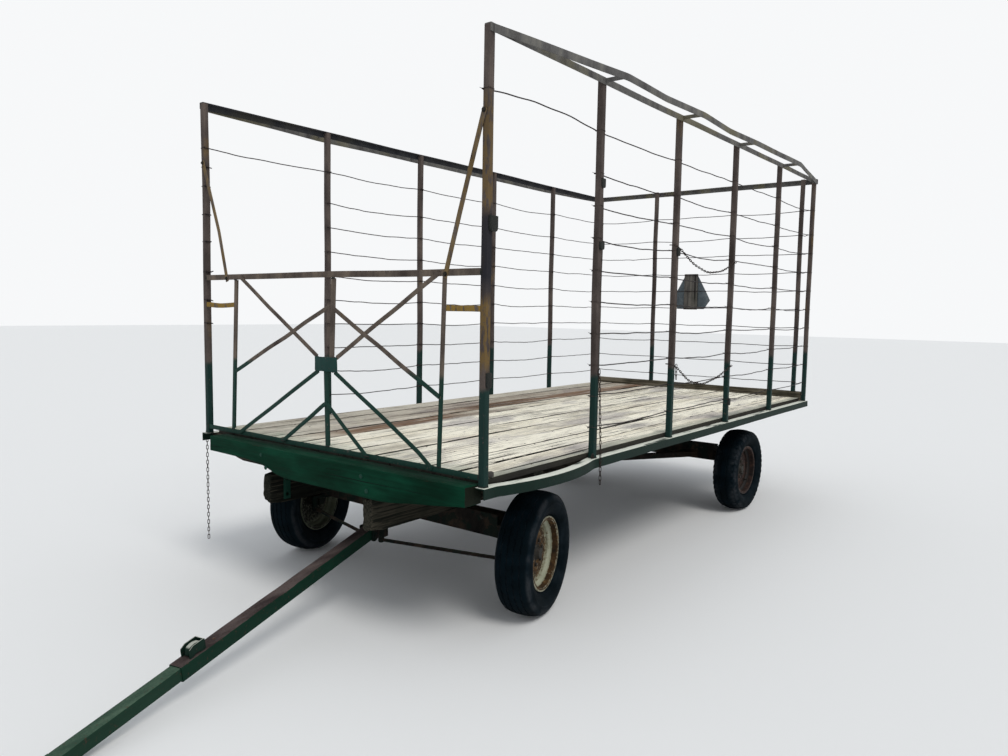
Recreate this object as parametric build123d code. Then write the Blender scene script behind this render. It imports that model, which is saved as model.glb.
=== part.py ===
from build123d import *
import math
import os

# Hay wagon: a plank deck with a welded rack of angle iron and wire, on a
# steered four-wheel running gear with a telescoping tongue.
# Millimetres. +Z is up, the front faces -Y, and +X is the wagon's left.
# The origin is the middle of the deck's top face.

# Deck
BAY = 1022.0                # post to post along a side
BAYS = 5
LENGTH = BAY * BAYS         # front posts to rear posts
FRONT_Y = -LENGTH / 2
REAR_Y = LENGTH / 2
HALF_WIDTH = 1250.0         # to the edge rails' outer faces
PLANK_T = 36.0
PLANK_COUNT = 11
PLANK_GAP = 6.0
PLANK_START = 35.0          # front posts' middles to the planks' front ends
RAIL_OVERHANG = 35.0        # edge rails past the end posts' middles
RAIL_FLANGE = 60.0          # edge rail, horizontal leg
RAIL_LEG = 55.0             # edge rail, hanging leg
RAIL_WALL = 6.0
PLANK_DROP = 30.0           # deck top down to the edge rail's top
SIDE_GAP = 5.0              # outer planks to the edge rails
BULGE = 72.0                # how far the left rail is bent out in the first bay
BEARER_W = 90.0
BEARER_DEPTH = 154.0
BEARER_TAPER = 330.0        # length of the bearers' ends that are cut away below
BEARER_TIP = 46.0           # depth left at the ends
BEAM_W = 130.0
BEAM_LEAD = 100.0           # front beam's face ahead of the front posts' middles
BEAM_DROP = 22.0            # deck top down to the front beam's top
BEAM_END_DEPTH = 98.0
BEAM_LEFT_SETBACK = 70.0    # edge rails' outer faces to the front beam's ends
BEAM_RIGHT_SETBACK = 200.0
BOARD_H = 60.0
BOARD_W = 60.0
BOARD_OVERHANG = 35.0       # rear board past the rear posts' middles
BOARD_GAP = 5.0
SILL_X = 457.0
SILL_W = 84.0
SILL_H = 195.0
SILL_FRONT = 75.0           # sill ends ahead of the front posts
SILL_REAR = 60.0            # sill ends short of the rear posts
STRAP_T = 6.0
STRAP_W = 50.0
STRAP_FOOT = 60.0
STRAP_BACK = 115.0          # front beam's face to the cleats' front edges

# Rack
POST_LEG = 36.0
POST_WALL = 5.0
POST_SETBACK = 35.0         # edge rails' outer faces to the posts' middles
POST_TOP = 2165.0
TOP_LEG = 40.0
REAR_RAIL_LEG = 45.0
TOP_WALL = 5.0
BOW_H = 40.0
BOW_T = 6.0
OUTRIGGER_H = 25.0
BOW_START = 5.6             # bow rails' ends, just clear of the top rails
# columns: post number, how far out from the posts' outer faces there, and halfway to the next post
BOW_LEFT = (
    (0, BOW_START, 78.0),
    (1, 150.0, 130.0),
    (2, 158.0, 130.0),
    (3, 150.0, 150.0),
    (4, 162.0, 84.0),
    (5, BOW_START, 0.0),
)
BOW_RIGHT = (
    (0, BOW_START, 52.0),
    (1, 98.0, 92.0),
    (2, 100.0, 92.0),
    (3, 98.0, 95.0),
    (4, 96.0, 50.0),
    (5, BOW_START, 0.0),
)
REAR_POSTS_X = (-495.0, 395.0)
REAR_CORNER_POST = 105.0    # last rear post from the left rear post
REAR_TOP = 2185.0
WIRE_R = 2.5
WIRE_PITCH = 185.0
WIRE_LOWEST = 155.0
LOW_WIRES = 9
TOP_WIRE = 1875.0
WIRE_END = 6.0              # wires' ends past a post's front face
SEAT = 0.3                  # room between pieces that are bolted or tied face to face

# Front gate
GATE_LEG = 35.0
GATE_WALL = 4.0
GATE_LIGHT_LEG = 30.0       # bottom rail and short rails
GATE_LOW = 3.0              # bottom rail's underside
GATE_TOP = 1040.0
SHORT_RAIL_Z = 860.0
GUSSET_X = 52.0
GUSSET_Z = 512.0
GUSSET_W = 195.0
GUSSET_H = 83.0
STILE_LOW = GATE_LOW + GATE_LIGHT_LEG + SEAT
STILE_HIGH = GATE_TOP - GATE_LEG - SEAT
# columns: x at the foot, x at the top, foot's height, top's height, leg; the centre one is in two
# lengths, side by side behind the gusset plate
GATE_STILES = (
    (-905.0, -853.0, STILE_LOW, STILE_HIGH, 30.0),
    (53.0, 38.0, STILE_LOW, GUSSET_Z + GUSSET_H / 2, 36.0),
    (87.0, 109.0, GUSSET_Z - GUSSET_H / 2, STILE_HIGH, 36.0),
    (932.0, 962.0, STILE_LOW, STILE_HIGH, 30.0),
)
FLAT_W = 25.0
FLAT_T = 5.0
CROSS_OUTER = (416.0, 396.0)
CROSS_INNER = (844.0, 833.0)
FOOT_BRACE_TOP = 284.0
BRACE_HEAD = (1209.0, 1775.0)
BRACE_BEND_Z = 1320.0
# columns: side, x of the bend, x of the foot
POST_BRACES = (
    (1, 1062.0, 965.0),
    (-1, 1030.0, 942.0),
)

# Chains and sign
CHAIN_R = 5.0
SIGN_W = 446.0
SIGN_H = 376.0
SIGN_TOP_W = 138.0          # across its cut upper corner
SIGN_LOW_W = 310.0          # across its lower edge
SIGN_CUT_H = 95.0           # height of its cut lower corners
SIGN_T = 3.0
SIGN_X = -43.0
SIGN_Z = 1072.0
BACKING_W = 155.0           # board that the sign is nailed to
BACKING_T = 20.0
BACKING_OVER = 6.0          # board past the sign, above and below

# Running gear
FRONT_AXLE_Y = FRONT_Y + 720.0
REAR_AXLE_Y = FRONT_Y + 3970.0
TRACK_X = 1000.0            # wheel's middle plane
WHEEL_R = 365.0
GROUND_Z = -950.0
WHEEL_Z = GROUND_Z + WHEEL_R
BOLSTER_H = 65.0
BOLSTER_W = 100.0
BOLSTER_HALF = 780.0
STAKE_T = 12.0
STAKE_W = 60.0
STAKE_H = 80.0
AXLE = 80.0
AXLE_HALF = 838.0           # tubes end short of the wheels' supports
REACH = 76.0
HOUND = 50.0
REAR_HOUND_X = 600.0
REAR_HOUND_RUN = 900.0
FRONT_HOUND_X = 420.0
FRONT_HOUND_RUN = 640.0

# Wheels
TYRE_W = 222.0
TREAD_W = 178.0
BEAD_R = 204.0
FLANGE_R = 220.0
RIM_W = 150.0
RIM_WALL = 5.0
WELL_R = 186.0
DISC_T = 6.0
DISC_OUT = 18.0             # disc's outer face from the wheel's middle plane
HUB_R = 46.0
HUB_IN = 48.0
HUB_OUT = 36.0
SPINDLE_R = 20.0
RUNNING = 0.05              # radial room of a pin in its bore

# Steering
STEER = 13.5                # how far the parked wagon's steering is turned
KINGPIN_X = 870.0
KINGPIN_R = 16.0
BOSS_R = 32.0
FORK_T = 20.0
FORK_GAP = 1.0
FORK_WEB = 40.0             # kingpin to the fork's web
WEB_T = 18.0
ARM = 100.0                 # kingpins to the tie rods' pins
ARM_SIDE = 28.0
ARM_W = 40.0
ROD_R = 11.0
ROD_PIN_R = 9.0
PIN_HEAD_T = 5.0
EYE_R = 19.0
EYE_T = 20.0
ROD_Z = -622.0
YOKE_Y = FRONT_Y + 500.0
BRACKET_T = 12.0
BRACKET_R = 45.0

# Tongue
HITCH = 2400.0              # steering pin to the tongue's tip
PITCH_PIN = 190.0           # steering pin to the pin that the tongue lifts on
PITCH_Z = -550.0
PITCH_PIN_R = 12.0
SLEEVE = 76.0
SLEEVE_WALL = 6.0
SLEEVE_END = 1720.0
SLEEVE_TAIL = 42.0
BAR_ROOM = 0.1
BAR_WALL = 8.0
BAR_INSIDE = 520.0          # length of the bar kept inside the sleeve
EAR_T = 12.0
EAR_GAP = 40.0
EAR_L = 95.0
HITCH_HOLE_R = 13.0
LUG_T = 12.0
LUG_H = 84.0
LATCH_L = 96.0
LATCH_W = 56.0
LATCH_H = 52.0
LATCH_BACK = 158.0          # latch's rear end from the sleeve's front end

POST_X = HALF_WIDTH - POST_SETBACK
RAIL_TOP = -PLANK_DROP
POST_FOOT = RAIL_TOP
BEARER_TOP = -PLANK_T
SILL_TOP = BEARER_TOP - BEARER_DEPTH
SILL_BOTTOM = SILL_TOP - SILL_H
AXLE_TOP = SILL_BOTTOM - BOLSTER_H
AXLE_BOTTOM = AXLE_TOP - AXLE
AXLE_MID = AXLE_TOP - AXLE / 2
FLANGE_IN = HALF_WIDTH - RAIL_FLANGE
PLANK_EDGE = FLANGE_IN - SIDE_GAP
RAIL_FRONT = FRONT_Y - RAIL_OVERHANG
RAIL_REAR = REAR_Y + RAIL_OVERHANG
DECK_FRONT = FRONT_Y + PLANK_START
BOARD_REAR = REAR_Y + BOARD_OVERHANG
BOARD_FRONT = BOARD_REAR - BOARD_W
DECK_REAR = BOARD_FRONT - BOARD_GAP
BEAM_FRONT = FRONT_Y - BEAM_LEAD
POST_OUT = POST_X + POST_LEG / 2
POST_IN = POST_X - POST_LEG / 2
RAIL_OUT = POST_OUT + SEAT + TOP_WALL     # top rails' outer faces
GATE_Y = FRONT_Y - POST_LEG / 2         # gate's front faces are flush with the posts'
EYE_TOP = ROD_Z + EYE_T / 2
EYE_LOW = ROD_Z - EYE_T / 2


def block(x0, x1, y0, y1, z0, z1):
    """Box between two values on each axis."""
    size = (x1 - x0, y1 - y0, z1 - z0)
    middle = ((x0 + x1) / 2, (y0 + y1) / 2, (z0 + z1) / 2)
    return Pos(*middle) * Box(*size)


def angle_section(leg_a, leg_b, wall):
    """L section with its outer corner at the origin and legs along +X and +Y."""
    points = ((0, 0), (leg_a, 0), (leg_a, wall), (wall, wall), (wall, leg_b), (0, leg_b))
    return make_face(Polyline(*points, close=True))


def angle_bar(start, length, run, leg_a, leg_b, wall):
    """Angle iron from its outer corner at start. run gives the bar's direction,
    leg_a's direction and leg_b's direction."""
    along, across, other = (Vector(*v) for v in run)
    plane = Plane(origin=start, x_dir=across, z_dir=across.cross(other))
    bar = extrude(plane * angle_section(leg_a, leg_b, wall), amount=length)
    if across.cross(other).dot(along) < 0:
        bar = Pos(*(along * length)) * bar
    return bar


def flat_bar(start, end, width, thickness, face):
    """Flat bar between two points; face is the normal of its wide side."""
    a, b = Vector(*start), Vector(*end)
    plane = Plane(origin=a, x_dir=Vector(*face), z_dir=b - a)
    return extrude(plane * Rectangle(thickness, width), amount=(b - a).length)


def rod(start, end, radius):
    """Round bar between two points."""
    a, b = Vector(*start), Vector(*end)
    plane = Plane(origin=a, z_dir=b - a)
    return extrude(plane * Circle(radius), amount=(b - a).length)


def upright(x, y, z0, z1, radius):
    """Round bar standing at x, y."""
    return rod((x, y, z0), (x, y, z1), radius)


def across(x0, x1, y, z, radius):
    """Round bar along X."""
    return rod((x0, y, z), (x1, y, z), radius)


def joined(pieces):
    """One solid from pieces that overlap."""
    whole = pieces[0]
    for piece in pieces[1:]:
        whole = whole + piece
    return whole


def mirrored(shape):
    """The same shape on the other side of the wagon."""
    return mirror(shape, about=Plane.YZ)


def deck_planks():
    """Lengthwise planks, one of them on the middle line."""
    pitch = (2 * PLANK_EDGE + PLANK_GAP) / PLANK_COUNT
    width = pitch - PLANK_GAP
    planks = []
    for row in range(PLANK_COUNT):
        left = -PLANK_EDGE + row * pitch
        planks.append(block(left, left + width, DECK_FRONT, DECK_REAR, -PLANK_T, 0))
    return planks


def cross_bearers():
    """Timbers across the sills, tapered below to shallow ends: a long one at each post, a short
    one between."""
    places = [(DECK_FRONT + BEARER_W / 2, True)]
    for step in range(1, 2 * BAYS):
        places.append((FRONT_Y + step * BAY / 2, step % 2 == 0))
    places.append((BOARD_REAR - BEARER_W / 2, True))
    bearers = []
    for y, long_one in places:
        half = HALF_WIDTH - RAIL_WALL if long_one else PLANK_EDGE
        plane = Plane(origin=(0, y + BEARER_W / 2, 0), x_dir=(1, 0, 0), z_dir=(0, -1, 0))
        outline = Polyline(
            (-half, BEARER_TOP),
            (-half, BEARER_TOP - BEARER_TIP),
            (-half + BEARER_TAPER, SILL_TOP),
            (half - BEARER_TAPER, SILL_TOP),
            (half, BEARER_TOP - BEARER_TIP),
            (half, BEARER_TOP),
            close=True,
        )
        bearers.append(extrude(plane * make_face(outline), amount=BEARER_W))
    return bearers


def front_beam():
    """Cross timber ahead of the planks: its underside rises to shallow ends, sooner on the right."""
    right, left = -HALF_WIDTH + BEAM_RIGHT_SETBACK, HALF_WIDTH - BEAM_LEFT_SETBACK
    shallow = -BEAM_DROP - BEAM_END_DEPTH
    plane = Plane(origin=(0, BEAM_FRONT + BEAM_W, 0), x_dir=(1, 0, 0), z_dir=(0, -1, 0))
    outline = Polyline(
        (right, -BEAM_DROP),
        (right, shallow),
        (right + 440, shallow - 5),
        (right + 580, shallow - 22),
        (right + 700, shallow - 54),
        (right + 790, SILL_TOP),
        (left - 580, SILL_TOP),
        (left, shallow),
        (left, -BEAM_DROP),
        close=True,
    )
    return extrude(plane * make_face(outline), amount=BEAM_W)


def rear_board():
    """Timber across the planks' rear ends, which carries the rear rack."""
    half = FLANGE_IN - SEAT
    return block(-half, half, BOARD_FRONT, BOARD_REAR, BEARER_TOP, BOARD_H)


def main_sills():
    """Two timbers under the bearers that lie on the bolsters."""
    sill = block(SILL_X - SILL_W / 2, SILL_X + SILL_W / 2, FRONT_Y - SILL_FRONT, REAR_Y - SILL_REAR,
                 SILL_BOTTOM, SILL_TOP)
    return [sill, mirrored(sill)]


def sill_straps():
    """Angle cleats that hold the front beam and the first bearer to the sills' inner faces."""
    face = SILL_X - SILL_W / 2
    y0 = BEAM_FRONT + STRAP_BACK
    upright_leg = block(face - STRAP_T, face, y0, y0 + STRAP_W, SILL_BOTTOM + 20, SILL_TOP)
    foot = block(face - STRAP_FOOT, face, y0, y0 + STRAP_W, SILL_TOP - STRAP_T, SILL_TOP)
    cleat = upright_leg + foot
    return [cleat, mirrored(cleat)]


def bent_edge(x, bulge):
    """Lines along a rail's edge at x, bent out by bulge within the first bay."""
    if bulge == 0:
        return [Line((x, RAIL_FRONT), (x, RAIL_REAR))]
    y_from, y_mid, y_to = FRONT_Y + 60, FRONT_Y + BAY / 2, FRONT_Y + BAY - 40
    return [
        Line((x, RAIL_FRONT), (x, y_from)),
        ThreePointArc((x, y_from), (x + bulge, y_mid), (x, y_to)),
        Line((x, y_to), (x, RAIL_REAR)),
    ]


def edge_rail(bulge):
    """Angle iron along the deck's edge: a flat leg that the posts stand on and a hanging leg."""
    legs = []
    for width, depth in ((RAIL_FLANGE, RAIL_WALL), (RAIL_WALL, RAIL_LEG)):
        inner = HALF_WIDTH - width
        ends = [Line((inner, y), (HALF_WIDTH, y)) for y in (RAIL_FRONT, RAIL_REAR)]
        outline = make_face(bent_edge(inner, bulge) + bent_edge(HALF_WIDTH, bulge) + ends)
        legs.append(extrude(Pos(0, 0, RAIL_TOP - depth) * outline, amount=depth))
    return joined(legs)


def rack_post(x, y, foot, top):
    """Upright of angle iron with its corner at the front left."""
    corner = (x + POST_LEG / 2, y - POST_LEG / 2, foot)
    run = ((0, 0, 1), (-1, 0, 0), (0, 1, 0))
    return angle_bar(corner, top - foot, run, POST_LEG, POST_LEG, POST_WALL)


def side_posts(side):
    """Six posts on the edge rail of one side, side +1 left and -1 right, all turned the same way."""
    return [rack_post(side * POST_X, FRONT_Y + step * BAY, POST_FOOT, POST_TOP) for step in range(BAYS + 1)]


def rear_posts():
    """Uprights of the rear rack on the rear board."""
    places = REAR_POSTS_X + (POST_X - REAR_CORNER_POST,)
    return [rack_post(x, REAR_Y, BOARD_H, REAR_TOP) for x in places]


def top_rail(side):
    """Straight top rail of one side: it caps the posts' outer upper edges."""
    start = (side * RAIL_OUT, FRONT_Y - POST_LEG / 2, POST_TOP + SEAT + TOP_WALL)
    run = ((0, 1, 0), (-side, 0, 0), (0, 0, -1))
    return angle_bar(start, LENGTH + POST_LEG, run, TOP_LEG, TOP_LEG, TOP_WALL)


def top_rail_rear():
    """Top rail of the rear rack."""
    start = (-POST_OUT, REAR_Y + POST_LEG / 2 + SEAT + REAR_RAIL_LEG, REAR_TOP)
    run = ((1, 0, 0), (0, -1, 0), (0, 0, -1))
    return angle_bar(start, 2 * POST_OUT, run, REAR_RAIL_LEG, REAR_RAIL_LEG, TOP_WALL)


def bow_rail(side, tips):
    """Flat rail held out from one side of the rack by outriggers, in one length for each bay."""
    pieces = []
    z0 = POST_TOP - BOW_H
    for (step, out, middle), (next_step, next_out, _) in zip(tips, tips[1:]):
        points = (
            (POST_OUT + out, FRONT_Y + step * BAY + SEAT),
            (POST_OUT + middle, FRONT_Y + (step + 0.5) * BAY),
            (POST_OUT + next_out, FRONT_Y + next_step * BAY - SEAT),
        )
        outer = [(x + BOW_T, y) for x, y in reversed(points)]
        pieces.append(extrude(Pos(0, 0, z0) * make_face(Polyline(*points, *outer, close=True)), amount=BOW_H))
    for step, out, _ in tips[1:-1]:
        y = FRONT_Y + step * BAY
        x0, x1 = RAIL_OUT + SEAT, POST_OUT + out - SEAT
        pieces.append(block(x0, x1, y - FLAT_T / 2, y + FLAT_T / 2, POST_TOP - OUTRIGGER_H, POST_TOP))
    return pieces if side > 0 else [mirrored(piece) for piece in pieces]


def stile_middle(stile, z):
    """X of a gate stile's middle at height z."""
    foot, top, low, high = stile[:4]
    return foot + (top - foot) * (z - low) / (high - low)


def leaning_stile(stile):
    """Stile of angle iron for the gate."""
    foot, top, low, high, leg = stile
    section = angle_section(leg, leg, GATE_WALL)
    ends = [Pos(x - leg / 2, GATE_Y, z) * section for x, z in ((foot, low), (top, high))]
    return loft(ends, ruled=True)


def gate_frame():
    """Half-height front gate between the front posts: rails, stiles and short rails."""
    inner = POST_IN - SEAT
    rail = ((1, 0, 0), (0, 1, 0), (0, 0, -1))
    low_rail = ((1, 0, 0), (0, 1, 0), (0, 0, 1))
    pieces = [
        angle_bar((-inner, GATE_Y, GATE_LOW), 2 * inner, low_rail, GATE_LIGHT_LEG, GATE_LIGHT_LEG, GATE_WALL),
        angle_bar((-inner, GATE_Y, GATE_TOP), 2 * inner, rail, GATE_LEG, GATE_LEG, GATE_WALL),
    ]
    leg = GATE_LIGHT_LEG
    for side, stile in ((-1, GATE_STILES[0]), (1, GATE_STILES[-1])):
        x0 = side * max(abs(stile_middle(stile, z)) for z in (SHORT_RAIL_Z, SHORT_RAIL_Z - leg))
        low, high = sorted((x0 + side * (stile[-1] / 2 + SEAT), side * inner))
        pieces.append(angle_bar((low, GATE_Y, SHORT_RAIL_Z), high - low, rail, leg, leg, GATE_WALL))
    return pieces + [leaning_stile(stile) for stile in GATE_STILES]


def bent_flat(points):
    """Flat bar of the gate through two or three points given as (x, y, z)."""
    legs = [flat_bar(a, b, FLAT_W, FLAT_T, (0, -1, 0)) for a, b in zip(points, points[1:])]
    return joined(legs)


def meeting_point(a, b, c, d):
    """Where the line through a and b crosses the line through c and d, points given as (x, z)."""
    run, other = (b[0] - a[0], b[1] - a[1]), (d[0] - c[0], d[1] - c[1])
    cross = run[0] * other[1] - run[1] * other[0]
    share = ((c[0] - a[0]) * other[1] - (c[1] - a[1]) * other[0]) / cross
    return a[0] + share * run[0], a[1] + share * run[1]


def gate_braces():
    """Flat bars of the gate's trusses and the gusset plate that they meet at.
    The crossing bars are bent to pass in front of the ones from the top corners."""
    near = GATE_Y - SEAT - FLAT_T / 2
    far = near - FLAT_T - SEAT
    high, low = GATE_TOP - GATE_LEG / 2, GATE_LOW + GATE_LIGHT_LEG / 2
    plate_high, plate_low = GUSSET_Z + GUSSET_H / 2, GUSSET_Z - GUSSET_H / 2

    def on_stile(row, z, inward):
        return stile_middle(GATE_STILES[row], z) + inward, z

    right_top = (on_stile(0, high, 55), (GUSSET_X - 82, plate_high))
    left_top = (on_stile(3, high, -32), (GUSSET_X + 89, plate_high))
    right_low = ((GUSSET_X - 72, plate_low), on_stile(0, low, 83))
    left_low = ((GUSSET_X + 71, plate_low), on_stile(3, 94, -145), on_stile(3, low, -42))
    foot = ((-364, low), on_stile(1, FOOT_BRACE_TOP, 0), (393, low))
    flat = (right_top, left_top, right_low, left_low, foot)
    bars = [bent_flat([(x, near, z) for x, z in bar]) for bar in flat]
    # columns: outer end, inner end and the bar that is crossed
    crossing = (
        (on_stile(0, CROSS_OUTER[0], 24), on_stile(2, CROSS_INNER[0], -26), right_top),
        (on_stile(3, CROSS_OUTER[1], -9), on_stile(2, CROSS_INNER[1], 14), left_top),
    )
    for outer, inner, under in crossing:
        x, z = meeting_point(outer, inner, *under)
        over = far - 2 * SEAT
        bars.append(bent_flat([(outer[0], near, outer[1]), (x, over, z), (inner[0], near, inner[1])]))
    half = GUSSET_W / 2
    plate = block(GUSSET_X - half, GUSSET_X + half, far - FLAT_T / 2, far + FLAT_T / 2, plate_low, plate_high)
    return bars + [plate]


def post_braces():
    """Bent flat bars from the front posts down to the gate's top rail."""
    y = FRONT_Y - POST_LEG / 2 - SEAT - FLAT_T / 2
    face = (0, -1, 0)
    pieces = []
    for side, bend_x, foot_x in POST_BRACES:
        head = (side * BRACE_HEAD[0], y, BRACE_HEAD[1])
        bend = (side * bend_x, y, BRACE_BEND_Z)
        foot = (side * foot_x, y, GATE_TOP - GATE_LEG)
        knee = Pos(*bend) * Rot(90, 0, 0) * Cylinder(FLAT_W / 2, FLAT_T)
        pieces.append(joined([
            flat_bar(head, bend, FLAT_W, FLAT_T, face), knee, flat_bar(bend, foot, FLAT_W, FLAT_T, face),
        ]))
    return pieces


def side_wires(side):
    """Wires tied to the inner faces of one side's posts. The front bay keeps only the top one."""
    x = side * (POST_IN - WIRE_R - SEAT)
    lead = POST_LEG / 2 + WIRE_END
    wires = [rod((x, FRONT_Y - lead, TOP_WIRE), (x, REAR_Y + 10, TOP_WIRE), WIRE_R)]
    for row in range(LOW_WIRES):
        z = WIRE_LOWEST + row * WIRE_PITCH
        wires.append(rod((x, FRONT_Y + BAY - lead, z), (x, REAR_Y + 10, z), WIRE_R))
    return wires


def rear_wires():
    """Wires tied to the inner faces of the rear posts."""
    y = REAR_Y - POST_LEG / 2 - WIRE_R - SEAT
    heights = [WIRE_LOWEST + row * WIRE_PITCH for row in range(LOW_WIRES)] + [TOP_WIRE]
    end = POST_IN - 4 * WIRE_R
    return [rod((-end, y, z), (end, y, z), WIRE_R) for z in heights]


def chain_run(points):
    """Outer shape of a hanging chain: short straight lengths between points."""
    pieces = []
    for a, b in zip(points, points[1:]):
        pieces.append(rod(a, b, CHAIN_R))
        pieces.append(Pos(*b) * Sphere(CHAIN_R))
    return joined(pieces)


def rack_chains():
    """Chains hung on the left rack's posts and on the right front corner."""
    x = POST_OUT + SEAT + CHAIN_R
    y3 = FRONT_Y + 2 * BAY
    y4 = FRONT_Y + 3 * BAY
    drop_y = FRONT_Y + BAY
    upper = chain_run([(x, y3, 1305), (x, y3 + 250, 1185), (x, y3 + 500, 1137), (x, y3 + 760, 1160), (x, y4, 1241)])
    lower = chain_run([(x, y3, 480), (x, y3 + 240, 350), (x, y3 + 480, 312), (x, y3 + 740, 345), (x, y4, 425)])
    hung_x = HALF_WIDTH + SEAT + CHAIN_R
    hung = chain_run([(x, drop_y + 12, 470), (hung_x, drop_y + 22, 60), (hung_x, drop_y + 26, -190)])
    corner_x = -HALF_WIDTH - SEAT - CHAIN_R
    corner = chain_run([(corner_x, FRONT_Y + 5, -45), (corner_x, FRONT_Y + 5, -780)])
    return [upper, lower, hung, corner]


def rear_sign():
    """Blank slow-vehicle triangle with cut corners, on a board tied behind the rear wires."""
    y = REAR_Y - POST_LEG / 2
    low, high = SIGN_Z - SIGN_H / 2, SIGN_Z + SIGN_H / 2
    cut = low + SIGN_CUT_H
    plane = Plane(origin=(SIGN_X, y + BACKING_T, 0), x_dir=(1, 0, 0), z_dir=(0, 1, 0))
    # columns: how wide the plate is, at what height
    rows = ((SIGN_LOW_W, low), (SIGN_W, cut), (SIGN_TOP_W, high))
    right = [(-width / 2, -z) for width, z in rows]
    left = [(width / 2, -z) for width, z in reversed(rows)]
    plate = extrude(plane * make_face(Polyline(*right, *left, close=True)), amount=SIGN_T)
    half = BACKING_W / 2
    board = block(SIGN_X - half, SIGN_X + half, y, y + BACKING_T, low - BACKING_OVER, high + BACKING_OVER)
    return board + plate


def bolsters():
    """Steel bolsters on both axles, with stakes that keep the sills in place."""
    pieces = []
    stake_x = SILL_X + SILL_W / 2
    for y in (FRONT_AXLE_Y, REAR_AXLE_Y):
        beam = block(-BOLSTER_HALF, BOLSTER_HALF, y - BOLSTER_W / 2, y + BOLSTER_W / 2, AXLE_TOP, SILL_BOTTOM)
        stake = block(stake_x, stake_x + STAKE_T, y - STAKE_W / 2, y + STAKE_W / 2,
                      SILL_BOTTOM, SILL_BOTTOM + STAKE_H)
        pieces.append(joined([beam, stake, mirrored(stake)]))
    return pieces


def axle_front():
    """Front axle tube with a boss for each kingpin and the bracket that the tongue steers in."""
    y = FRONT_AXLE_Y
    half = KINGPIN_X - KINGPIN_R
    pieces = [block(-half, half, y - AXLE / 2, y + AXLE / 2, AXLE_BOTTOM, AXLE_TOP)]
    for side in (-1, 1):
        pieces.append(upright(side * KINGPIN_X, y, AXLE_BOTTOM, AXLE_TOP, BOSS_R))
    for z in (AXLE_TOP - BRACKET_T, AXLE_BOTTOM - BRACKET_T + 6):
        pieces.append(block(-BRACKET_R, BRACKET_R, YOKE_Y, y - AXLE / 2 + 1, z, z + BRACKET_T))
        pieces.append(upright(0, YOKE_Y, z, z + BRACKET_T, BRACKET_R))
    whole = joined(pieces)
    for side in (-1, 1):
        whole = whole - upright(side * KINGPIN_X, y, AXLE_BOTTOM - 1, AXLE_TOP + 1, KINGPIN_R + RUNNING)
    return whole + upright(0, YOKE_Y, AXLE_BOTTOM - BRACKET_T + 6, AXLE_TOP, KINGPIN_R)


def axle_rear():
    """Rear axle tube with its spindles on drop plates."""
    y = REAR_AXLE_Y
    pieces = [block(-AXLE_HALF, AXLE_HALF, y - AXLE / 2, y + AXLE / 2, AXLE_BOTTOM, AXLE_TOP)]
    web = KINGPIN_X + FORK_WEB
    for side in (-1, 1):
        low, high = sorted((side * AXLE_HALF, side * (web + WEB_T)))
        pieces.append(block(low, high, y - AXLE / 2, y + AXLE / 2, WHEEL_Z - 32, AXLE_TOP))
        low, high = sorted((side * web, side * (TRACK_X + HUB_OUT)))
        pieces.append(across(low, high, y, WHEEL_Z, SPINDLE_R))
    return joined(pieces)


def reach_pole():
    """Square tube that joins the two axles."""
    y0, y1 = FRONT_AXLE_Y + AXLE / 2, REAR_AXLE_Y - AXLE / 2
    half = REACH / 2
    return block(-half, half, y0, y1, AXLE_MID - half, AXLE_MID + half)


def hounds():
    """Braces from each axle to the reach."""
    pieces = []
    # columns: axle's y, direction towards the reach, x at the axle, run along the reach
    table = (
        (FRONT_AXLE_Y, 1, FRONT_HOUND_X, FRONT_HOUND_RUN),
        (REAR_AXLE_Y, -1, REAR_HOUND_X, REAR_HOUND_RUN),
    )
    for y, way, x, run in table:
        start = (x, y + way * (AXLE / 2 - 20), AXLE_MID)
        end = (0, y + way * (AXLE / 2 + run), AXLE_MID)
        brace = flat_bar(start, end, HOUND, HOUND, (0, 0, 1))
        trim_reach = block(-REACH / 2, REACH / 2, y - 2 * run, y + 2 * run, AXLE_BOTTOM, AXLE_TOP)
        trim_axle = block(-AXLE_HALF, AXLE_HALF, y - AXLE / 2, y + AXLE / 2, AXLE_BOTTOM, AXLE_TOP)
        other_side = block(-AXLE_HALF, 0, y - 2 * run, y + 2 * run, AXLE_BOTTOM, AXLE_TOP)
        brace = brace - trim_reach - trim_axle - other_side
        pieces += [brace, mirrored(brace)]
    return pieces


def steered(shape, x, y):
    """A piece drawn straight ahead, turned as the parked wagon's steering is, about x, y."""
    return Pos(x, y, 0) * Rot(0, 0, STEER) * Pos(-x, -y, 0) * shape


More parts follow.
